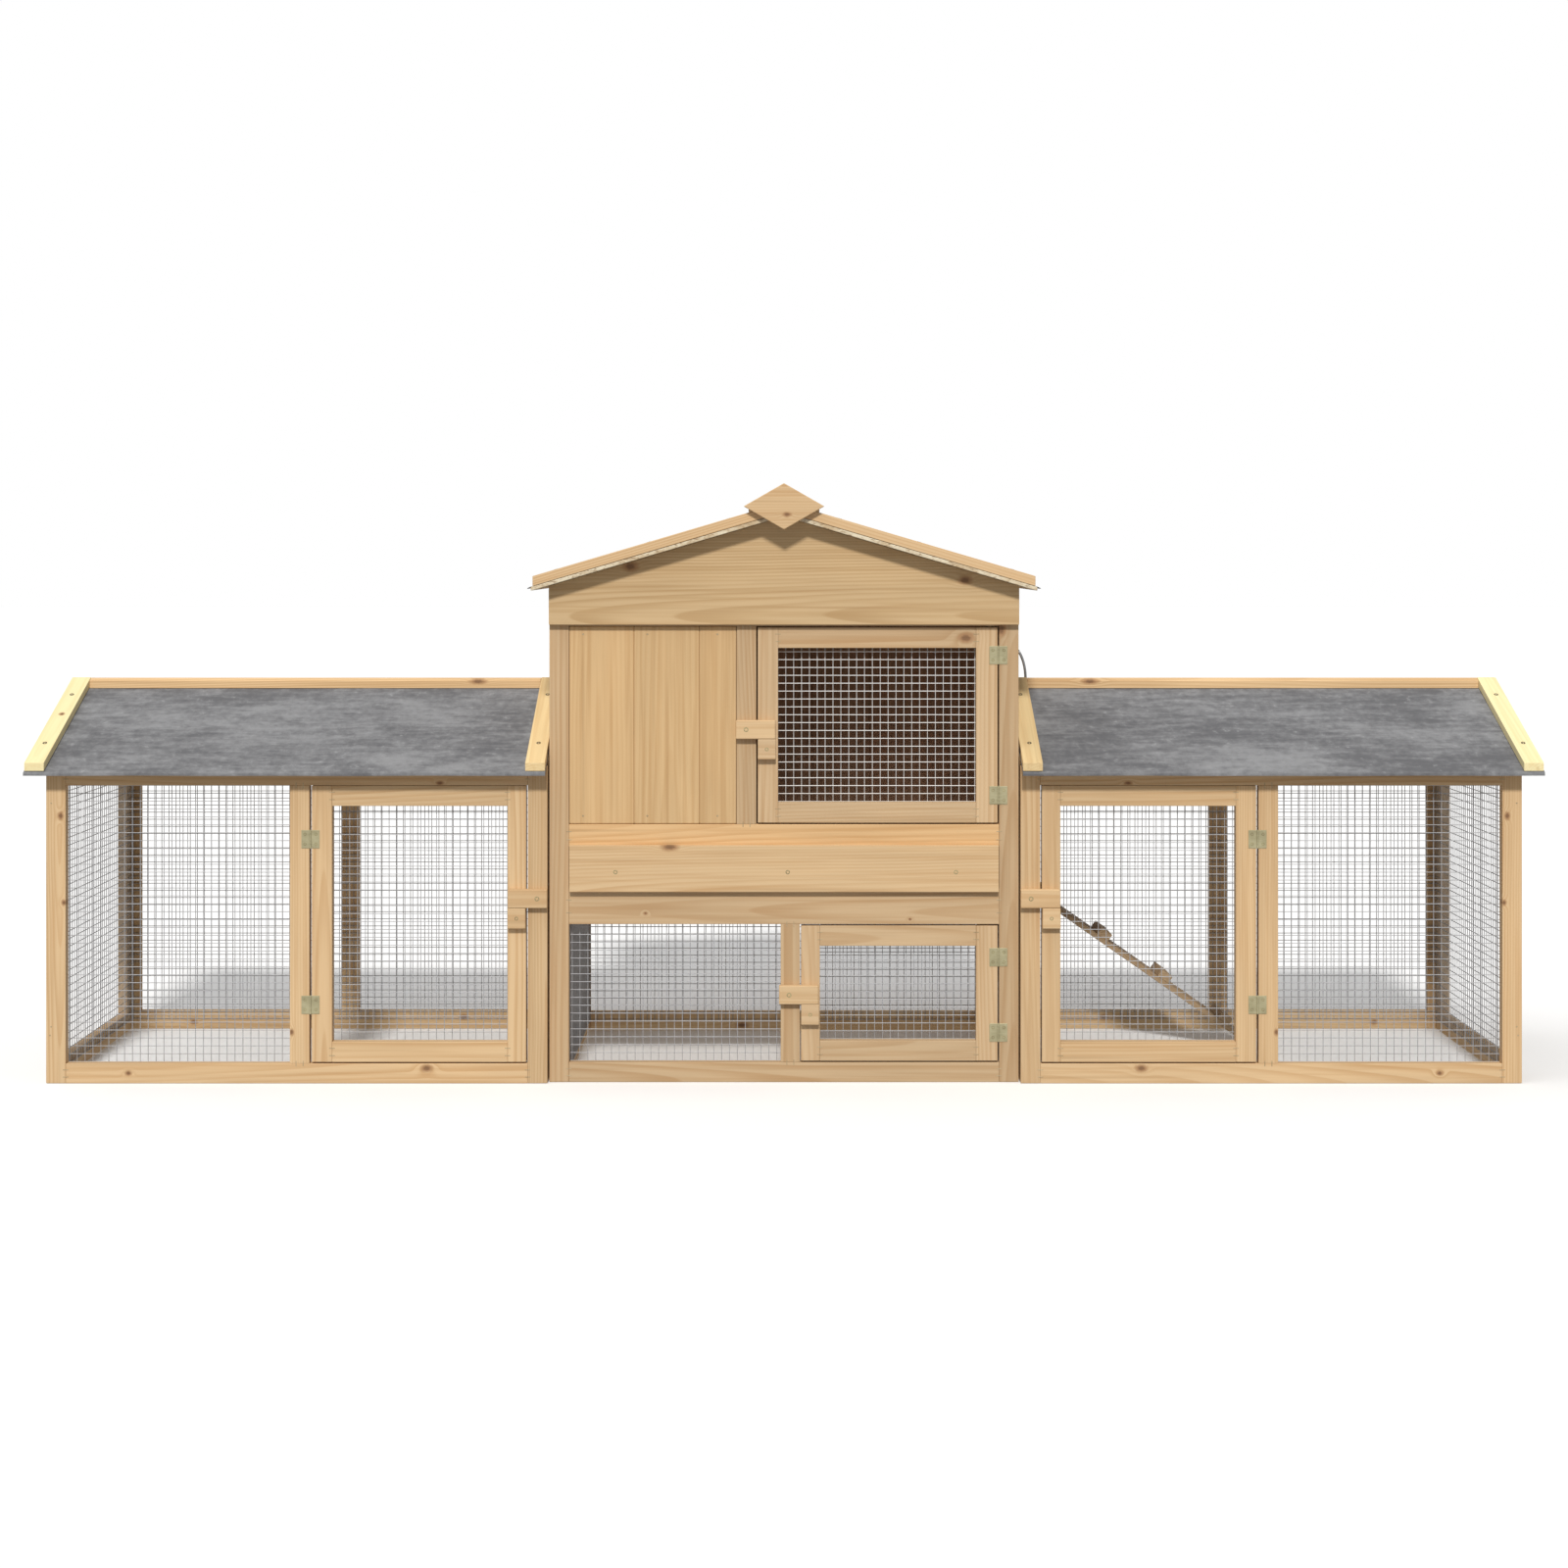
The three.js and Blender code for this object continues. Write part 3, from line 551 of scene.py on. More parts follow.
def upright(x, y, z, ease=EASE):
    """A board standing up in the box. Its width lies along the longer of the box's X and Y sides."""
    across, size = (X, (x[1] - x[0], y[1] - y[0])) if x[1] - x[0] > y[1] - y[0] else (
        Y, (y[1] - y[0], x[1] - x[0]))
    middle = (sum(x) / 2, sum(y) / 2)
    return board((*middle, z[0] + JOINT), (*middle, z[1] - JOINT), across, size, ease=ease)


def lying(x, y, z, ease=EASE):
    """A board lying along X in the box, with its width along Z."""
    middle = (sum(y) / 2, sum(z) / 2)
    size = (z[1] - z[0], y[1] - y[0])
    return board((x[0] + JOINT, *middle), (x[1] - JOINT, *middle), Z, size, ease=ease)


def deep(x, y, z, ease=EASE):
    """A board lying along Y in the box, with its width along Z."""
    start, end = ((sum(x) / 2, place, sum(z) / 2) for place in (y[0] + JOINT, y[1] - JOINT))
    return board(start, end, Z, (z[1] - z[0], x[1] - x[0]), ease=ease)


def rafter(eave, ridge, wide, thick):
    """A board up a slope, cut upright at both ends. eave and ridge are points of its middle line."""
    eave, ridge = np.asarray(eave, float), np.asarray(ridge, float)
    rise = ridge - eave
    tangent = rise[2] / math.hypot(rise[0], rise[1])
    return board(eave, ridge, np.cross(Z, rise), (wide, thick), skew=(tangent, tangent))


def planks(x, y, z, step, axis, stagger=0.0):
    """Upright boards side by side along axis (0 for X, 1 for Y), step wide, filling the box."""
    box = [x, y, z]
    low, high = box[axis]
    cuts = [low, *np.arange(low + step - stagger, high - 0.012, step), high]
    made = []
    for a, b in zip(cuts[:-1], cuts[1:]):
        box[axis] = (a, b)
        made.append(upright(*box, ease=GROOVE))
    return made


def outward(sign, a, b):
    """The span from a to b out from the middle, on the side given by sign."""
    return (a, b) if sign > 0 else (-b, -a)


# ---- sheets ---------------------------------------------------------------------------------


def grid(x, y, z, hidden=0.0):
    """A flat sheet of welded mesh in the thin box: level wires in front, upright wires behind.

    The box is thin along X or along Y. hidden moves the sheet's wires half a wire apart.
    """
    lies_along_x = x[1] - x[0] > y[1] - y[0]
    start, stop = x if lies_along_x else y
    along = X if lies_along_x else Y
    through = Y if lies_along_x else X
    near = (y if lies_along_x else x)[0]
    level_at, upright_at = near + WIRE / 2 - 0.0001, near + WIRE * 1.5 - 0.0003
    if hidden:
        level_at, upright_at = upright_at, level_at
    columns = np.arange(start + 0.002, stop - 0.001, PITCH)
    rows = np.arange(z[0] + 0.002, z[1] - 0.001, PITCH)
    up = columns[:, None] * along + upright_at * through + z[0] * Z
    level = rows[:, None] * Z + level_at * through + start * along
    return [wires(up, Z, z[1] - z[0]), wires(level, along, stop - start)]


def draped(corner, along, length, uphill, climb, slope, thick, edge, sag=0.0003):
    """Felt on a slope: a section carried along the eave.

    The section's middle line starts with the points of edge, which are (uphill, height) places
    measured from the corner, and then climbs the slope by climb, measured level. Its two sides lie
    half the thickness off it along its normal. Two slow sines lift and lower it by up to sag.
    """
    corner, along, uphill = (np.asarray(v, float) for v in (corner, along, uphill))
    h = np.linspace(0.004, climb, 34)
    rising = np.stack([h, h * math.tan(slope) + thick / 2 / math.cos(slope)], -1)
    line = np.concatenate([edge, rising])
    run = np.gradient(line, axis=0)
    normal = np.stack([-run[:, 1], run[:, 0]], -1) / np.linalg.norm(run, axis=1)[:, None]

    def side(offset):
        def at(u, v):
            k = np.rint(v * (len(line) - 1)).astype(int)
            place = line[k] + normal[k] * offset
            wave = sag * (np.sin(u * 23 + 5 * v + length * 40) + np.sin(u * 9 - 11 * v)) * 0.5
            height = place[..., 1] + wave
            return corner + (u * length)[..., None] * along + place[..., :1] * uphill + height[..., None] * Z
        return at

    return slab(72, len(line), side(thick / 2), side(-thick / 2))


# ---- hardware -------------------------------------------------------------------------------


def screw(centre, out, radius=0.0029):
    """A countersunk screw head: a shallow dish with a cross pressed into it, facing out."""
    def cross(a, b):
        arm = np.minimum(np.abs(a), np.abs(b)) < radius * 0.20
        return np.where(arm & (np.hypot(a, b) < radius * 0.62), -radius * 0.35, 0.0)
    rings = [(radius * k, 0.0) for k in np.linspace(0.86, 0.02, 9)]
    profile = [(radius * 0.5, -radius), (radius, -radius * 0.15), (radius * 0.95, 0.0), *rings]
    return turned(profile, centre, out, 24, cross)


def staple(centre, run, out, length=0.0075):
    """A staple's crown: a flat wire along run, half sunk in the face that looks out."""
    run, out, centre = (np.asarray(v, float) for v in (run, out, centre))
    start = centre - run * length / 2
    across = np.cross(out, run)
    return board(start, start + run * length, across, (0.0011, 0.0005), cut=(0, 0, 0), ease=0.0002)


def stapled(x, y, z, wide=False):
    """Two staples across a butt joint in a face at y that looks forward.

    z is the span of a rail beside an upright joint at x, or, if wide, x is the span of a stile
    on a level joint at z.
    """
    run = Z if wide else X
    pairs = [(x[0] + (x[1] - x[0]) * k, z) for k in (0.32, 0.68)] if wide else [
        (x, z[0] + (z[1] - z[0]) * k) for k in (0.32, 0.68)]
    return [staple((a, y, b), run, -Y) for a, b in pairs]


HINGE_HEIGHT = 0.0246
HINGE_LEAF = 0.0116
BARREL = 0.0014


def hinge(name, axis_x, face_y, z, door_sign, body):
    """A butt hinge on a face that looks forward: two leaves, five knuckles round a pin, four screws.

    The leaf on the door's side and three knuckles move with the door, and the rest stays.
    """
    axis_y = face_y - 0.001
    knuckle = HINGE_HEIGHT / 5
    bottom = z - HINGE_HEIGHT / 2
    turned_edge = 0.0002

    def leaf(sign):
        middle = axis_x + sign * (HINGE_LEAF / 2 + BARREL * 0.45)
        plate = board((middle, face_y - 0.0004, bottom), (middle, face_y - 0.0004, bottom + HINGE_HEIGHT), X,
                      (HINGE_LEAF, 0.0008), cut=(0, 0, 0), ease=0.0003)
        heads = [screw((middle + sign * 0.001, face_y - 0.00085, z + k * HINGE_HEIGHT * 0.27), -Y, 0.0022)
                 for k in (-1, 1)]
        return plate, heads

    def barrel(indexes):
        return [turned([(BARREL - turned_edge, 0.0001), (BARREL, 0.0003), (BARREL, knuckle - 0.0003),
                        (BARREL - turned_edge, knuckle - 0.0001)],
                       (axis_x, axis_y, bottom + i * knuckle), Z, 16) for i in indexes]

    pin = turned([(0.0007, -0.0006), (0.0011, -0.0003), (0.0011, 0.0), (0.0007, 0.0),
                  (0.0007, HINGE_HEIGHT), (0.0011, HINGE_HEIGHT), (0.0011, HINGE_HEIGHT + 0.0003),
                  (0.0007, HINGE_HEIGHT + 0.0006)], (axis_x, axis_y, bottom), Z, 14)
    door_leaf, door_screws = leaf(door_sign)
    frame_leaf, frame_screws = leaf(-door_sign)
    build(f"{name}_door_leaf", [door_leaf, *barrel((0, 2, 4))], HINGE_PLATE, body)
    build(f"{name}_frame_leaf", [frame_leaf, *barrel((1, 3)), pin], HINGE_PLATE, "root")
    build(f"{name}_door_screws", door_screws, SCREW_STEEL, body)
    build(f"{name}_frame_screws", frame_screws, SCREW_STEEL, "root")


# ---- the runs -------------------------------------------------------------------------------

RUN_TOP_RAIL = 0.402
RUN_MID_STILE = 0.6405
RUN_DOOR_STILE = 0.025
RUN_DOOR_RAIL = 0.0275
RUN_LATCH_SCREW = (0.3325, 0.2501)
RUN_HINGE = (0.639, (0.106, 0.3295))
LATCH_BLOCK = 0.0274
LATCH_BLOCK_WIDE = 0.0245
LATCH_THICK = 0.0095
RUN_BATTEN_THICK = 0.0105
HEAD_PROUD = 0.0004

RUN_FACE = extent("right_run_front_frame")[1][0]
HOUSE_FACE = extent("house_front_frame")[1][0]

RUN_FRONT_WOOD = softwood("run_front_pine", mirrored=True, knots=[
    (0.9762, 0.3609, 0.0034, 0.0048), (0.9719, 0.2438, 0.0028, 0.0036), (0.8849, 0.0136, 0.0040, 0.0030),
    (0.4822, 0.0202, 0.0068, 0.0044), (0.6643, 0.0686, 0.0026, 0.0040), (0.4643, 0.4051, 0.0046, 0.0026)])
RUN_BACK_WOOD = softwood("run_back_pine", mirrored=True, knots=[
    (0.8888, 0.0096, 0.0050, 0.0032), (0.4821, 0.0170, 0.0060, 0.0038)])
RIDGE_WOOD = softwood("ridge_strip_pine", mirrored=True, pale=(0.700, 0.480, 0.260), knots=[
    (0.4365, 0.5326, 0.0100, 0.0034)])


def run_frame(run, sign, which, finish):
    """The front or back of a run: two stiles full height, rails between them, and a middle stile."""
    node = f"{run}_{which}_frame"
    x, y, (bottom, top) = extent(node)
    inner, outer = sorted(abs(v) for v in x)
    rails = outward(sign, inner + BATTEN, outer - BATTEN)
    middle = outward(sign, RUN_MID_STILE, RUN_MID_STILE + BATTEN)
    build(f"{node}_timber", [
        upright(outward(sign, inner, inner + BATTEN), y, (bottom, top)),
        upright(outward(sign, outer - BATTEN, outer), y, (bottom, top)),
        lying(rails, y, (bottom, bottom + BATTEN)),
        lying(rails, y, (RUN_TOP_RAIL, top)),
        upright(middle, y, (bottom + BATTEN, RUN_TOP_RAIL)),
    ], finish, "root", node)
    if which == "front":
        heads = [s for joint in rails for span in ((bottom, bottom + BATTEN), (RUN_TOP_RAIL, top))
                 for s in stapled(joint, y[0], span)]
        heads += stapled(middle, y[0], BATTEN, wide=True) + stapled(middle, y[0], RUN_TOP_RAIL, wide=True)
        heads += [turned([(0.0008, -0.001), (0.0012, 0.0), (0.0009, 0.0003)], (sign * place, y[0], z), -Y, 10)
                  for place, z in ((0.9889, 0.378), (0.9889, 0.0763), (0.9907, 0.0646))]
        build(f"{run}_front_staples", heads, STAPLE_STEEL_PAINTED_SHADE, "root")


def run_end(run, which):
    """An end of a run: two stiles, two rails and a gable board that follows the roof."""
    node = f"{run}_{which}_end_frame"
    x, (y0, y1), (bottom, peak) = extent(node)
    rail_top = RUN_TOP_RAIL + BATTEN
    middle = (y0 + y1) / 2
    shoulder = peak - (middle - y0) * math.tan(RUN_SLOPE)
    origin = (x[1], middle, rail_top + JOINT)
    half = middle - y0
    gable = flat_board([(-half, 0), (half, 0), (half, shoulder - rail_top), (0, peak - rail_top),
                        (-half, shoulder - rail_top)], origin, Y, Z, x[1] - x[0])
    build(f"{node}_timber", [
        upright(x, (y0, y0 + BATTEN), (bottom, rail_top)),
        upright(x, (y1 - BATTEN, y1), (bottom, rail_top)),
        deep(x, (y0 + BATTEN, y1 - BATTEN), (bottom, bottom + BATTEN)),
        deep(x, (y0 + BATTEN, y1 - BATTEN), (RUN_TOP_RAIL, rail_top)),
        gable,
    ], PINE_WILD, "root", node)


def framed_door(name, node, x, y, z, stiles, rail, body, block_x, latch_z, finish):
    """A door: stiles full height, rails between them, and the block that the latch bar rests on."""
    top = latch_z - 0.0126 - 0.0003
    left, right = stiles
    between = (x[0] + left, x[1] - right)
    build(f"{name}_timber", [
        upright((x[0], x[0] + left), y, z),
        upright((x[1] - right, x[1]), y, z),
        lying(between, y, (z[0], z[0] + rail)),
        lying(between, y, (z[1] - rail, z[1])),
        lying(block_x, (y[0] - LATCH_THICK, y[0]), (top - LATCH_BLOCK, top), ease=0.0011),
    ], finish, body, node)
    heads = [s for joint in between for span in ((z[0], z[0] + rail), (z[1] - rail, z[1]))
             for s in stapled(joint, y[0], span)]
    build(f"{name}_staples", heads, STAPLE_STEEL_PAINTED_SHADE, body)
    block_screw = screw((sum(block_x) / 2, y[0] - LATCH_THICK, top - LATCH_BLOCK / 2), -Y, 0.0027)
    build(f"{name}_block_screw", [block_screw], SCREW_STEEL, body)


def latch(name, node, pivot_x, pivot_z, body):
    """A latch bar with rounded ends edges, and the screw it turns on."""
    x, y, z = extent(node)
    build(f"{name}_timber", [lying(x, y, z, ease=0.0012)], PINE, body, node)
    build(f"{name}_screw", [screw((pivot_x, y[0], pivot_z), -Y, 0.0034)], SCREW_STEEL, body)


def run_roof(run, which):
    """One slope of a run's roof: sheathing, and felt that is folded down over its eave."""
    node = f"{run}_roof_{which}"
    (x0, x1), (y0, y1), (z0, z1) = extent(node)
    sheathing, covering = 0.0034, 0.0014
    eave, ridge, uphill = (y0, y1, Y) if which == "front" else (y1, y0, -Y)
    rise = (z1 - z0) - abs(ridge - eave) * math.tan(RUN_SLOPE)
    climb = abs(ridge - eave)
    lift = sheathing / 2 / math.cos(RUN_SLOPE)
    middle = (x0 + x1) / 2
    top_at_eave = z0 + 2 * lift
    build(f"{node}_sheathing", [rafter((middle, eave, z0 + lift), (middle, ridge, z1 - rise + lift),
                                       x1 - x0 - 0.001, sheathing)], SHEATHING, "root")
    edge = [(-0.0009, -0.0040), (-0.0009, -0.0028), (-0.0009, -0.0014), (-0.0006, -0.0003),
            (0.0004, 0.0006), (0.0018, 0.0014)]
    build(f"{node}_felt", [draped((x0, eave, top_at_eave), X, x1 - x0, uphill, climb, RUN_SLOPE,
                                  covering, edge)], FELT, "root", node, smooth=True)


def run_battens(run, which):
    """A pair of battens along one end of a run's roof, meeting at the ridge."""
    node = f"{run}_roof_{which}_battens"
    (x0, x1), (y0, y1), (z0, z1) = extent(node)
    middle, ridge = (x0 + x1) / 2, (y0 + y1) / 2
    rise = RUN_BATTEN_THICK / math.cos(RUN_SLOPE)
    pair = [rafter((middle, eave, z0 + rise / 2), (middle, ridge + side * JOINT, z1 - rise / 2), x1 - x0,
                   RUN_BATTEN_THICK) for eave, side in ((y0, -1), (y1, 1))]
    finish = OUTER_BATTEN_WOOD if which == "outer" else ROOF_BATTEN_WOOD
    build(f"{node}_timber", pair, finish, "root", node)
    heads = []
    for eave, side in ((y0, -1), (y1, 1)):
        for depth in (0.049, 0.1765):
            out = np.array([0, side * math.sin(RUN_SLOPE), math.cos(RUN_SLOPE)])
            place = np.array([middle, eave - side * depth, z0 + rise + depth * math.tan(RUN_SLOPE)])
            heads.append(screw(place + out * HEAD_PROUD, out, 0.0030))
    build(f"{node}_screws", heads, DARK_SCREW, "root")


def ridge_strip(run):
    """The strip along a run's ridge: two bevelled boards mitred together."""
    node = f"{run}_roof_ridge_strip"
    (x0, x1), (y0, y1), (z0, z1) = extent(node)
    middle, half = (y0 + y1) / 2, (y1 - y0) / 2
    rise = z1 - z0 - half * math.tan(RUN_SLOPE)
    halves = []
    for side in (-1, 1):
        near = side * JOINT
        outline = [(side * half, 0), (near, half * math.tan(RUN_SLOPE)),
                   (near, z1 - z0), (side * half, rise)]
        halves.append(flat_board(outline if side > 0 else outline[::-1], (x1, middle, z0), Y, Z, x1 - x0, "back"))
    build(f"{node}_timber", halves, RIDGE_WOOD, "root", node)


def make_run(run, sign):
    for which, finish in (("front", RUN_FRONT_WOOD), ("back", RUN_BACK_WOOD)):
        run_frame(run, sign, which, finish)
        run_roof(run, which)
    for which in ("inner", "outer"):
        run_end(run, which)
        run_battens(run, which)
    ridge_strip(run)

    # fixed mesh: a flat sheet in front, and one bent round the back and the outer end
    build(f"{run}_front_wires", grid(*extent(f"{run}_front_mesh")), GALVANISED, "root",
          f"{run}_front_mesh", smooth=True)
    x, y, z = extent(f"{run}_back_and_end_mesh")
    end_x = (x[1] - 0.0012, x[1]) if sign > 0 else (x[0], x[0] + 0.0012)
    sheets = grid(x, (y[1] - 0.0012, y[1]), z) + grid(end_x, y, z, hidden=sign)
    build(f"{run}_corner_wires", sheets, GALVANISED, "root", f"{run}_back_and_end_mesh", smooth=True)

    door, body = extent(f"{run}_door_frame"), f"{run}_door"
    inner, outer = sorted(abs(v) for v in door[0])
    stiles = (RUN_DOOR_STILE, RUN_DOOR_RAIL) if sign > 0 else (RUN_DOOR_RAIL, RUN_DOOR_STILE)
    framed_door(f"{run}_door", f"{run}_door_frame", door[0], (RUN_FACE, RUN_FACE + PANEL), door[2], stiles,
                RUN_DOOR_RAIL, body, outward(sign, inner, inner + LATCH_BLOCK_WIDE), RUN_LATCH_SCREW[1],
                PINE_WILD)
    build(f"{run}_door_wires", grid(*extent(f"{run}_door_mesh")), GALVANISED, body,
          f"{run}_door_mesh", smooth=True)
    latch(f"{run}_latch", f"{run}_latch_bar", sign * RUN_LATCH_SCREW[0], RUN_LATCH_SCREW[1], f"{run}_latch")
    axis_x, heights = RUN_HINGE
    for place, z in zip(("lower", "upper"), heights):
        hinge(f"{run}_{place}_hinge", sign * axis_x, RUN_FACE, z, -sign, body)


make_run("left_run", -1)
make_run("right_run", 1)

# ---- the house ------------------------------------------------------------------------------

HOUSE_HALF = 0.3175
LOWER_RAIL = 0.2135
FLOOR = 0.262
SLOT_TOP = 0.318
SILL = 0.3486
HEAD = 0.617
UPPER_STILE = (-0.064, -0.0375)
LOWER_STILE = (-0.0045, 0.0215)
FRONT_GROOVES = (-0.203, -0.1145)
HINGE_X = 0.290
UPPER_HINGES = (0.388, 0.5775)
LOWER_HINGES = (0.067, 0.169)

HOUSE_FRONT_WOOD = softwood("house_front_pine", pale=(0.560, 0.395, 0.229), warm=(0.425, 0.248, 0.112), knots=[
    (0.2937, 0.6126, 0.0060, 0.0084), (-0.1874, 0.2282, 0.0024, 0.0018), (0.1705, 0.2202, 0.0022, 0.0016)])
HOUSE_BACK_WOOD = softwood("house_back_pine", knots=[(-0.0627, 0.0066, 0.0080, 0.0040)], wild=0.12)
GABLE_WOOD = softwood("gable_pine", pale=(0.558, 0.392, 0.212), warm=(0.396, 0.240, 0.101), knots=[
    (-0.2073, 0.6974, 0.0092, 0.0060), (0.2447, 0.6789, 0.0080, 0.0052)])
DOOR_WOOD = softwood("house_door_pine", pale=(0.595, 0.425, 0.250), warm=(0.450, 0.268, 0.124),
                     knots=[(0.2460, 0.6006, 0.0090, 0.0062)])
SILL_WOOD = softwood("sill_pine", pale=(0.740, 0.490, 0.250), warm=(0.560, 0.310, 0.122))
TRAY_WOOD = softwood("tray_front_pine", knots=[(-0.1543, 0.3190, 0.0100, 0.0046)])
DIAMOND_WOOD = softwood("diamond_pine", knots=[(0.0040, 0.7670, 0.0050, 0.0028)])


def house_frame(node, finish, rails, stiles):
    """The front or back of the house: two posts full height, with rails and stiles between them."""
    x, y, (bottom, top) = extent(node)
    between = (x[0] + BATTEN, x[1] - BATTEN)
    boards = [upright((x[0], between[0]), y, (bottom, top)), upright((between[1], x[1]), y, (bottom, top))]
    boards += [lying(between, y, z) for z in rails]
    boards += [upright(place, y, z) for place, z in stiles]
    build(f"{node}_timber", boards, finish, "root", node)
    return between, y


front_rails = [(0, BATTEN), (LOWER_RAIL, FLOOR), (SLOT_TOP, SILL), (HEAD, 0.645)]
front_stiles = [(LOWER_STILE, (BATTEN, LOWER_RAIL)), (UPPER_STILE, (SILL, HEAD))]
between, house_y = house_frame("house_front_frame", HOUSE_FRONT_WOOD,
                               [r for r in front_rails if r != (SLOT_TOP, SILL)], front_stiles)
build("house_front_sill_timber", [lying(between, house_y, (SLOT_TOP, SILL))], SILL_WOOD, "root",
      "house_front_frame")
front_staples = [s for joint in between for span in front_rails for s in stapled(joint, house_y[0], span)]
for place, (low, high) in front_stiles:
    front_staples += stapled(place, house_y[0], low, wide=True) + stapled(place, house_y[0], high, wide=True)
build("house_front_staples", front_staples, STAPLE_STEEL_PAINTED_SHADE, "root")
house_frame("house_back_frame", HOUSE_BACK_WOOD, [(0, BATTEN), (LOWER_RAIL, FLOOR), (HEAD, 0.645)], [])

for side in ("left", "right"):
    node = f"house_{side}_frame"
    x, (y0, y1), (bottom, top) = extent(node)
    inside = (y0 + BATTEN, y1 - BATTEN)
    build(f"{node}_timber", [
        upright(x, (y0, inside[0]), (bottom, top)),
        upright(x, (inside[1], y1), (bottom, top)),
        *[deep(x, inside, z) for z in ((bottom, BATTEN), (LOWER_RAIL, FLOOR), (0.645, top))],
    ], PINE_WILD, "root", node)

# planks
x, y, z = extent("house_front_planks")
edges = [x[0], *FRONT_GROOVES, x[1]]
front_planks = [upright((a, b), y, z, ease=GROOVE) for a, b in zip(edges[:-1], edges[1:])]
build("house_front_planking", front_planks, PLANKS, "root", "house_front_planks")
nail = [turned([(0.0009, -0.001), (0.0014, 0.0), (0.0010, 0.0004)], (a, y[0], b), -Y, 12)
        for a in (-0.2720, -0.1850, -0.0900) for b in (z[0] + 0.011, z[1] - 0.011)]
build("house_front_nails", nail, STAPLE_STEEL_PAINTED_SHADE, "root")
x, y, z = extent("house_back_planks")
# the back planking carries painted shade for the dim inside of the house
build("house_back_planking", planks(x, y, z, 0.088, 0, 0.02), BACK_PLANKS_PAINTED_SHADE, "root", "house_back_planks")
x, y, z = extent("house_left_planks")
build("house_left_planking", planks(x, y, z, 0.088, 1), PLANKS_WILD, "root", "house_left_planks")
x, y, z = extent("house_right_planks")
DOORWAY = (RUN_FACE + 0.222, 0.400)
build("house_right_planking", [
    *planks(x, (y[0], DOORWAY[0]), z, 0.08645, 1),
    *planks(x, (DOORWAY[0], y[1]), (DOORWAY[1], z[1]), 0.088, 1),
], PLANKS_WILD, "root", "house_right_planks")
x, y, z = extent("house_floor")
strips = np.linspace(y[0], y[1], 5)
build("house_floor_boards", [
    board((x[0], (a + b) / 2, sum(z) / 2), (x[1], (a + b) / 2, sum(z) / 2), Y, (b - a, z[1] - z[0]))
    for a, b in zip(strips[:-1], strips[1:])
], PLANKS_WILD, "root", "house_floor")

# gables
for which, finish in (("front", GABLE_WOOD), ("back", PINE_WILD)):
    node = f"gable_{which}"
    x, y, (low, peak) = extent(node)
    shoulder = peak - x[1] * math.tan(HOUSE_SLOPE) - low
    outline = [(x[0], 0), (x[1], 0), (x[1], shoulder), (0, peak - low), (x[0], shoulder)]
    build(f"{node}_board", [flat_board(outline, (0, y[0], low), X, Z, y[1] - y[0])], finish, "root", node)

# mesh round the lower level
build("house_front_wires", grid(*extent("house_front_mesh")), GALVANISED, "root",
      "house_front_mesh", smooth=True)
x, y, z = extent("house_lower_mesh")
lower_sheets = grid(x, (y[1] - 0.0012, y[1]), z)
lower_sheets += grid((x[0], x[0] + 0.0012), y, z) + grid((x[1] - 0.0012, x[1]), y, z, hidden=1)
build("house_lower_wires", lower_sheets, GALVANISED, "root", "house_lower_mesh", smooth=True)

# roof: sheathing whose broken edge shows, and thin felt that reaches a little past it
for side, sign in (("left", -1), ("right", 1)):
    node = f"house_roof_{side}"
    x, (y0, y1), (z0, z1) = extent(node)
    climb = x[1] - x[0]
    rise = (z1 - z0) - climb * math.tan(HOUSE_SLOPE)
    short = 0.005
    sheathing = 0.0048
    set_back = 0.0014
    lift = sheathing / 2 / math.cos(HOUSE_SLOPE)
    eave_z = z0 + short * math.tan(HOUSE_SLOPE)
    eave_x = sign * (0.3445 - short)
    middle = (y0 + y1) / 2
    build(f"{node}_sheathing", [rafter((eave_x, middle, eave_z + lift), (sign * 0.0003, middle, z1 - rise + lift),
                                       y1 - y0 - 0.0006, sheathing)], SHEATHING, "root")
    tip = [(-0.0048, -0.0024), (-0.0036, -0.0014), (-0.0022, -0.0007), (0.0, 0.0003)]
    build(f"{node}_felt", [draped((eave_x, y0 + set_back, eave_z + 2 * lift), Y, y1 - y0 - 2 * set_back,
                                  (-sign, 0, 0), climb - short, HOUSE_SLOPE, 0.0004, tip, 0.0)],
          FELT, "root", node, smooth=True)

for which in ("front", "back"):
    node = f"house_roof_{which}_battens"
    (x0, x1), y, (z0, z1) = extent(node)
    rise = 0.0128 / math.cos(HOUSE_SLOPE)
    pair = [rafter((eave, sum(y) / 2, z0 + rise / 2), (side * JOINT, sum(y) / 2, z1 - rise / 2), y[1] - y[0], 0.0128)
            for eave, side in ((x0, -1), (x1, 1))]
    build(f"{node}_timber", pair, PINE, "root", node)
    out = [np.array([side * math.sin(HOUSE_SLOPE), 0, math.cos(HOUSE_SLOPE)]) for side in (-1, 1)]
    heads = [screw(np.array([side * (0.337 - d), sum(y) / 2, z0 + rise + d * math.tan(HOUSE_SLOPE)])
                   + normal * HEAD_PROUD, normal, 0.0030)
             for side, normal in zip((-1, 1), out) for d in (0.030, 0.155, 0.262)]
    build(f"{node}_screws", heads, DARK_SCREW, "root")

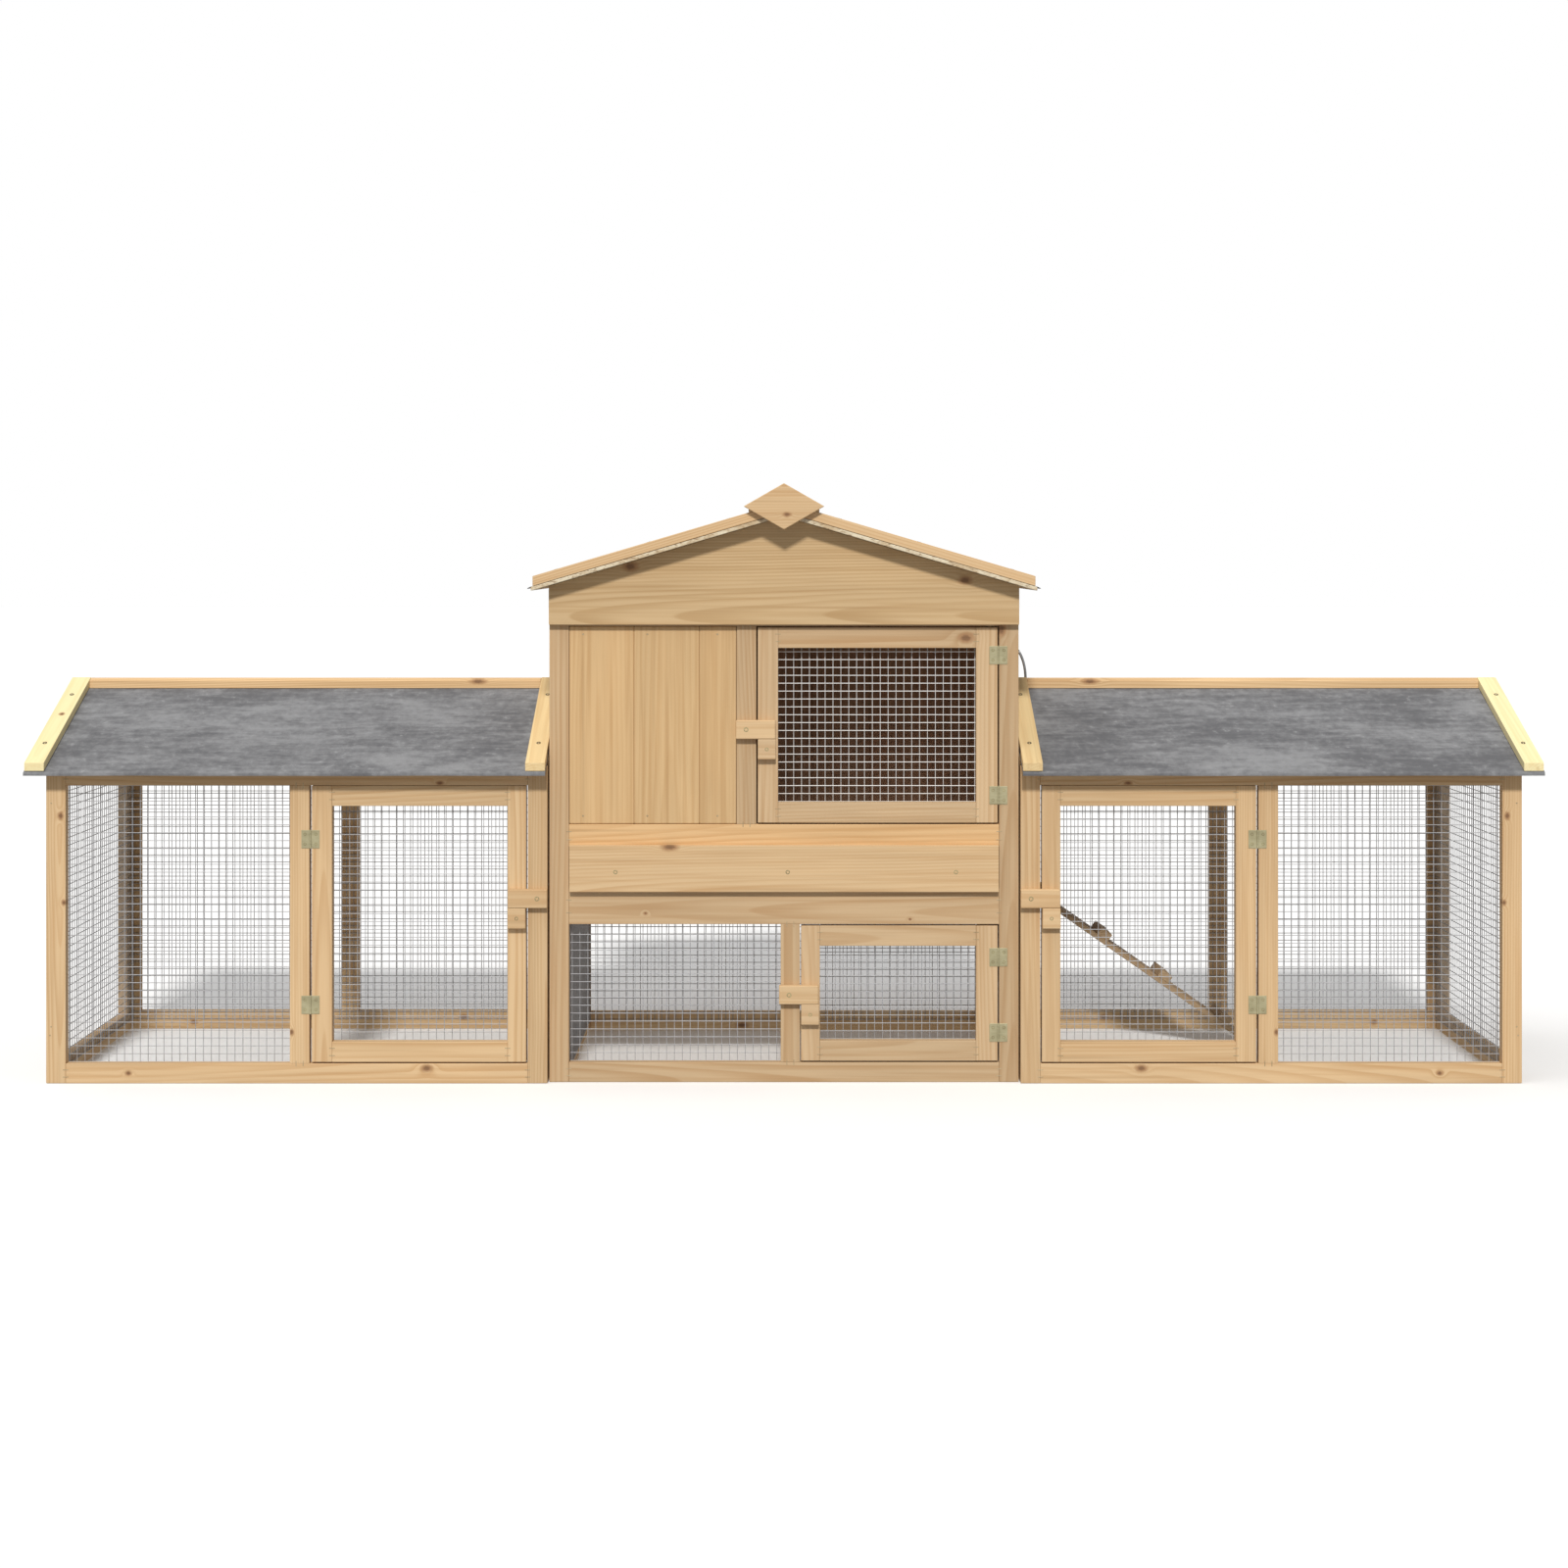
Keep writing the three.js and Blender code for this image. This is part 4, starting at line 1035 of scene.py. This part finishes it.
x, (y0, y1), (z0, z1) = extent("house_ridge_cap")
half = x[1]
fall = half * math.tan(HOUSE_SLOPE)
cap = []
for sign in (-1, 1):
    near = sign * JOINT
    outline = [(sign * half, 0), (near, fall), (near, z1 - z0), (sign * half, z1 - z0 - fall)]
    cap.append(flat_board(outline[::-1] if sign > 0 else outline, (0, y0, z0), X, Z, y1 - y0, "back"))
build("house_ridge_cap_timber", cap, PINE, "root", "house_ridge_cap")
x, y, z = extent("ridge_diamond")
middle = sum(z) / 2
build("ridge_diamond_board", [flat_board(
    [(x[0], 0), (0, z[0] - middle), (x[1], 0), (0, z[1] - middle)], (0, y[0], middle), X, Z, y[1] - y[0], ease=0.001)
], DIAMOND_WOOD, "root", "ridge_diamond")

# doors and latches of the house
for name, block_z, pivot_x, stiles, rail in (
        ("upper", 0.4773, -0.0512, (0.0275, 0.029), 0.0279), ("lower", 0.1192, 0.0068, (0.0255, 0.029), 0.0275)):
    x, _, z = extent(f"{name}_door_frame")
    framed_door(f"{name}_door", f"{name}_door_frame", x, (HOUSE_FACE, HOUSE_FACE + PANEL), z, stiles, rail,
                f"{name}_door", (x[0], x[0] + LATCH_BLOCK_WIDE), block_z, DOOR_WOOD)
    pieces = grid(*extent(f"{name}_door_mesh"))
    # upper door: level wires get the painted-light copy, upright wires the painted-shade copy
    finishes = (UPRIGHT_WIRE_PAINTED_SHADE, LEVEL_WIRE_PAINTED_LIGHT) if name == "upper" else (GALVANISED, GALVANISED)
    for kind, piece, finish in zip(("upright", "level"), pieces, finishes):
        build(f"{name}_door_{kind}_wires", [piece], finish, f"{name}_door",
              f"{name}_door_mesh", smooth=True)
    latch(f"{name}_latch", f"{name}_latch_bar", pivot_x, block_z, f"{name}_latch")
for door, heights in (("upper", UPPER_HINGES), ("lower", LOWER_HINGES)):
    for place, z in zip(("lower", "upper"), heights):
        hinge(f"{door}_door_{place}_hinge", HINGE_X, HOUSE_FACE, z, -1, f"{door}_door")

# droppings tray
x, y, z = extent("tray_front")
build("tray_front_board", [lying(x, y, z)], TRAY_WOOD, "tray", "tray_front")
build("tray_front_screws", [screw((place, y[0], 0.285), -Y, 0.0031) for place in (-0.2275, 0.005, 0.232)],
      SCREW_STEEL, "tray")
x, y, z = extent("tray_pan")
SHEET = 0.0012
pan = [board((x[0], sum(y) / 2, z[0] + SHEET / 2), (x[1], sum(y) / 2, z[0] + SHEET / 2), Y,
             (y[1] - y[0], SHEET), cut=(0, 0, 0), ease=0.0003)]
pan += [lying(x, (a, a + SHEET), z, ease=0.0003) for a in (y[0], y[1] - SHEET)]
pan += [deep((a, a + SHEET), y, z, ease=0.0003) for a in (x[0], x[1] - SHEET)]
inset = 0.0012
corners = [(x[0] + inset, y[0] + inset), (x[1] - inset, y[0] + inset), (x[1] - inset, y[1] - inset),
           (x[0] + inset, y[1] - inset), (x[0] + inset, y[0] + inset)]
pan += [tube(np.linspace((*a, z[1] - 0.0011), (*b, z[1] - 0.0011), 9), 0.0011, 10)
        for a, b in zip(corners[:-1], corners[1:])]
build("tray_pan_sheet", pan, TRAY_STEEL, "tray", "tray_pan")

# hatch, its guide and pull rod
build("hatch_board", planks(*extent("hatch"), 0.0655, 1), PLANKS, "hatch", "hatch")
build("hatch_guide_batten", [upright(*extent("hatch_guide"))], PINE, "root", "hatch_guide")


def bent(a, b, c, steps=14):
    """The points of a quadratic curve from a to c that is pulled towards b."""
    t = np.linspace(0, 1, steps)[:, None]
    return (1 - t) ** 2 * np.array(a) + 2 * t * (1 - t) * np.array(b) + t ** 2 * np.array(c)


rod_y = RUN_FACE + 0.343
rod = np.concatenate([
    np.linspace((0.3063, rod_y, 0.277), (0.3490, rod_y, 0.277), 4),
    bent((0.3495, rod_y, 0.277), (0.3595, rod_y, 0.277), (0.3595, rod_y, 0.287)),
    np.linspace((0.3595, rod_y, 0.292), (0.3595, rod_y, 0.522), 6),
    bent((0.3595, rod_y, 0.5285), (0.3595, rod_y, 0.5525), (0.350, rod_y, 0.5685)),
    bent((0.3498, rod_y + 0.0002, 0.5688), (0.349, rod_y + 0.001, 0.5705), (0.349, rod_y + 0.006, 0.5705), 6),
    np.linspace((0.349, rod_y + 0.008, 0.5705), (0.349, rod_y + 0.038, 0.5705), 4),
])
build("hatch_pull_rod_steel", [tube(rod, 0.002, 18)], ROD_STEEL, "hatch", "hatch_pull_rod", smooth=True)

# ramp: a board with cleats across it, in darker wood that is painted shade for the ramp standing in shadow
RAMP_SLOPE = math.radians(34.9)
RAMP_THICK = 0.007
CLEAT_FIRST, CLEAT_PITCH, CLEAT_LONG, CLEAT_HIGH, CLEAT_COUNT = 0.0631, 0.1063, 0.0188, 0.0112, 4
_, ramp_y, _ = extent("ramp")
top = np.array([0.3223, sum(ramp_y) / 2, 0.256])
down = np.array([math.cos(RAMP_SLOPE), 0, -math.sin(RAMP_SLOPE)])
normal = np.array([math.sin(RAMP_SLOPE), 0, math.cos(RAMP_SLOPE)])
ramp_length = (0.256 - 0.0005 - RAMP_THICK * math.cos(RAMP_SLOPE)) / math.sin(RAMP_SLOPE)
ramp_wide = ramp_y[1] - ramp_y[0]
ramp_board = top - normal * RAMP_THICK / 2
build("ramp_board", [board(ramp_board, ramp_board + down * ramp_length, Y, (ramp_wide, RAMP_THICK))],
      RAMP_WOOD_PAINTED_SHADE, "ramp", "ramp")
cleats = []
for i in range(CLEAT_COUNT):
    middle = top + down * (CLEAT_FIRST + i * CLEAT_PITCH) + normal * CLEAT_HIGH / 2
    reach = Y * ramp_wide / 2
    cleats.append(board(middle - reach, middle + reach, down, (CLEAT_LONG, CLEAT_HIGH), ease=0.0009))
build("ramp_cleats", cleats, RAMP_WOOD_PAINTED_SHADE, "ramp")

# ---- floor, light and camera ----------------------------------------------------------------

floor_finish = Graph("studio_floor")
floor_noise = floor_finish.noise(floor_finish.place(), scale=3.0, detail=2.0)
floor_tone = floor_finish.mix(floor_noise, (0.88, 0.88, 0.88), (0.90, 0.90, 0.90))
floor_mesh = bpy.data.meshes.new("studio_floor")
floor_mesh.from_pydata([(-30, -30, -0.0004), (30, -30, -0.0004), (30, 30, -0.0004), (-30, 30, -0.0004)], [],
                       [(0, 1, 2, 3)])
floor_mesh.materials.append(floor_finish.finish(
    Base_Color=floor_tone, Roughness=1.0, Specular_IOR_Level=0.0,
    Emission_Color=(1, 1, 1), Emission_Strength=0.03))
floor = bpy.data.objects.new("studio_floor", floor_mesh)
bpy.context.scene.collection.objects.link(floor)
floor.visible_diffuse = False    # the floor takes shadows but throws no light back

world = bpy.data.worlds.new("studio")
bpy.context.scene.world = world
world.use_nodes = True
sky = world.node_tree
surround = sky.nodes["Background"]
surround.inputs["Color"].default_value = (1, 1, 1, 1)
surround.inputs["Strength"].default_value = 0.40
# the backdrop itself is plain white, while the light that it gives is softer
backdrop = sky.nodes.new("ShaderNodeBackground")
backdrop.inputs["Color"].default_value = (1, 1, 1, 1)
seen, choice = sky.nodes.new("ShaderNodeLightPath"), sky.nodes.new("ShaderNodeMixShader")
sky.links.new(seen.outputs["Is Camera Ray"], choice.inputs[0])
sky.links.new(surround.outputs[0], choice.inputs[1])
sky.links.new(backdrop.outputs[0], choice.inputs[2])
sky.links.new(choice.outputs[0], sky.nodes["World Output"].inputs["Surface"])


def sun(name, toward, strength, spread, color=(1, 1, 1)):
    """A sun whose light travels along toward, softened over spread degrees."""
    light = bpy.data.lights.new(name, "SUN")
    light.energy, light.angle, light.color = strength, math.radians(spread), color
    lamp = bpy.data.objects.new(name, light)
    direction = np.asarray(toward, float) / np.linalg.norm(toward)
    lamp.rotation_euler = (math.acos(-direction[2]), 0, math.atan2(-direction[0], direction[1]))
    bpy.context.scene.collection.objects.link(lamp)


sun("key_light", (0.03, 1.0, -0.85), 2.75, 7, (1.0, 0.985, 0.96))
sun("top_light", (0.50, 0.15, -1.0), 0.75, 50)

camera_data = bpy.data.cameras.new("camera")
camera_data.sensor_width = 36
camera_data.lens = 56.65
camera_data.shift_y = -0.1456
camera = bpy.data.objects.new("camera", camera_data)
camera.location = (0, -3.5251, 0.712)
camera.rotation_euler = (math.pi / 2, 0, 0)
bpy.context.scene.collection.objects.link(camera)
bpy.context.scene.camera = camera
bpy.context.scene.view_settings.view_transform = "Standard"
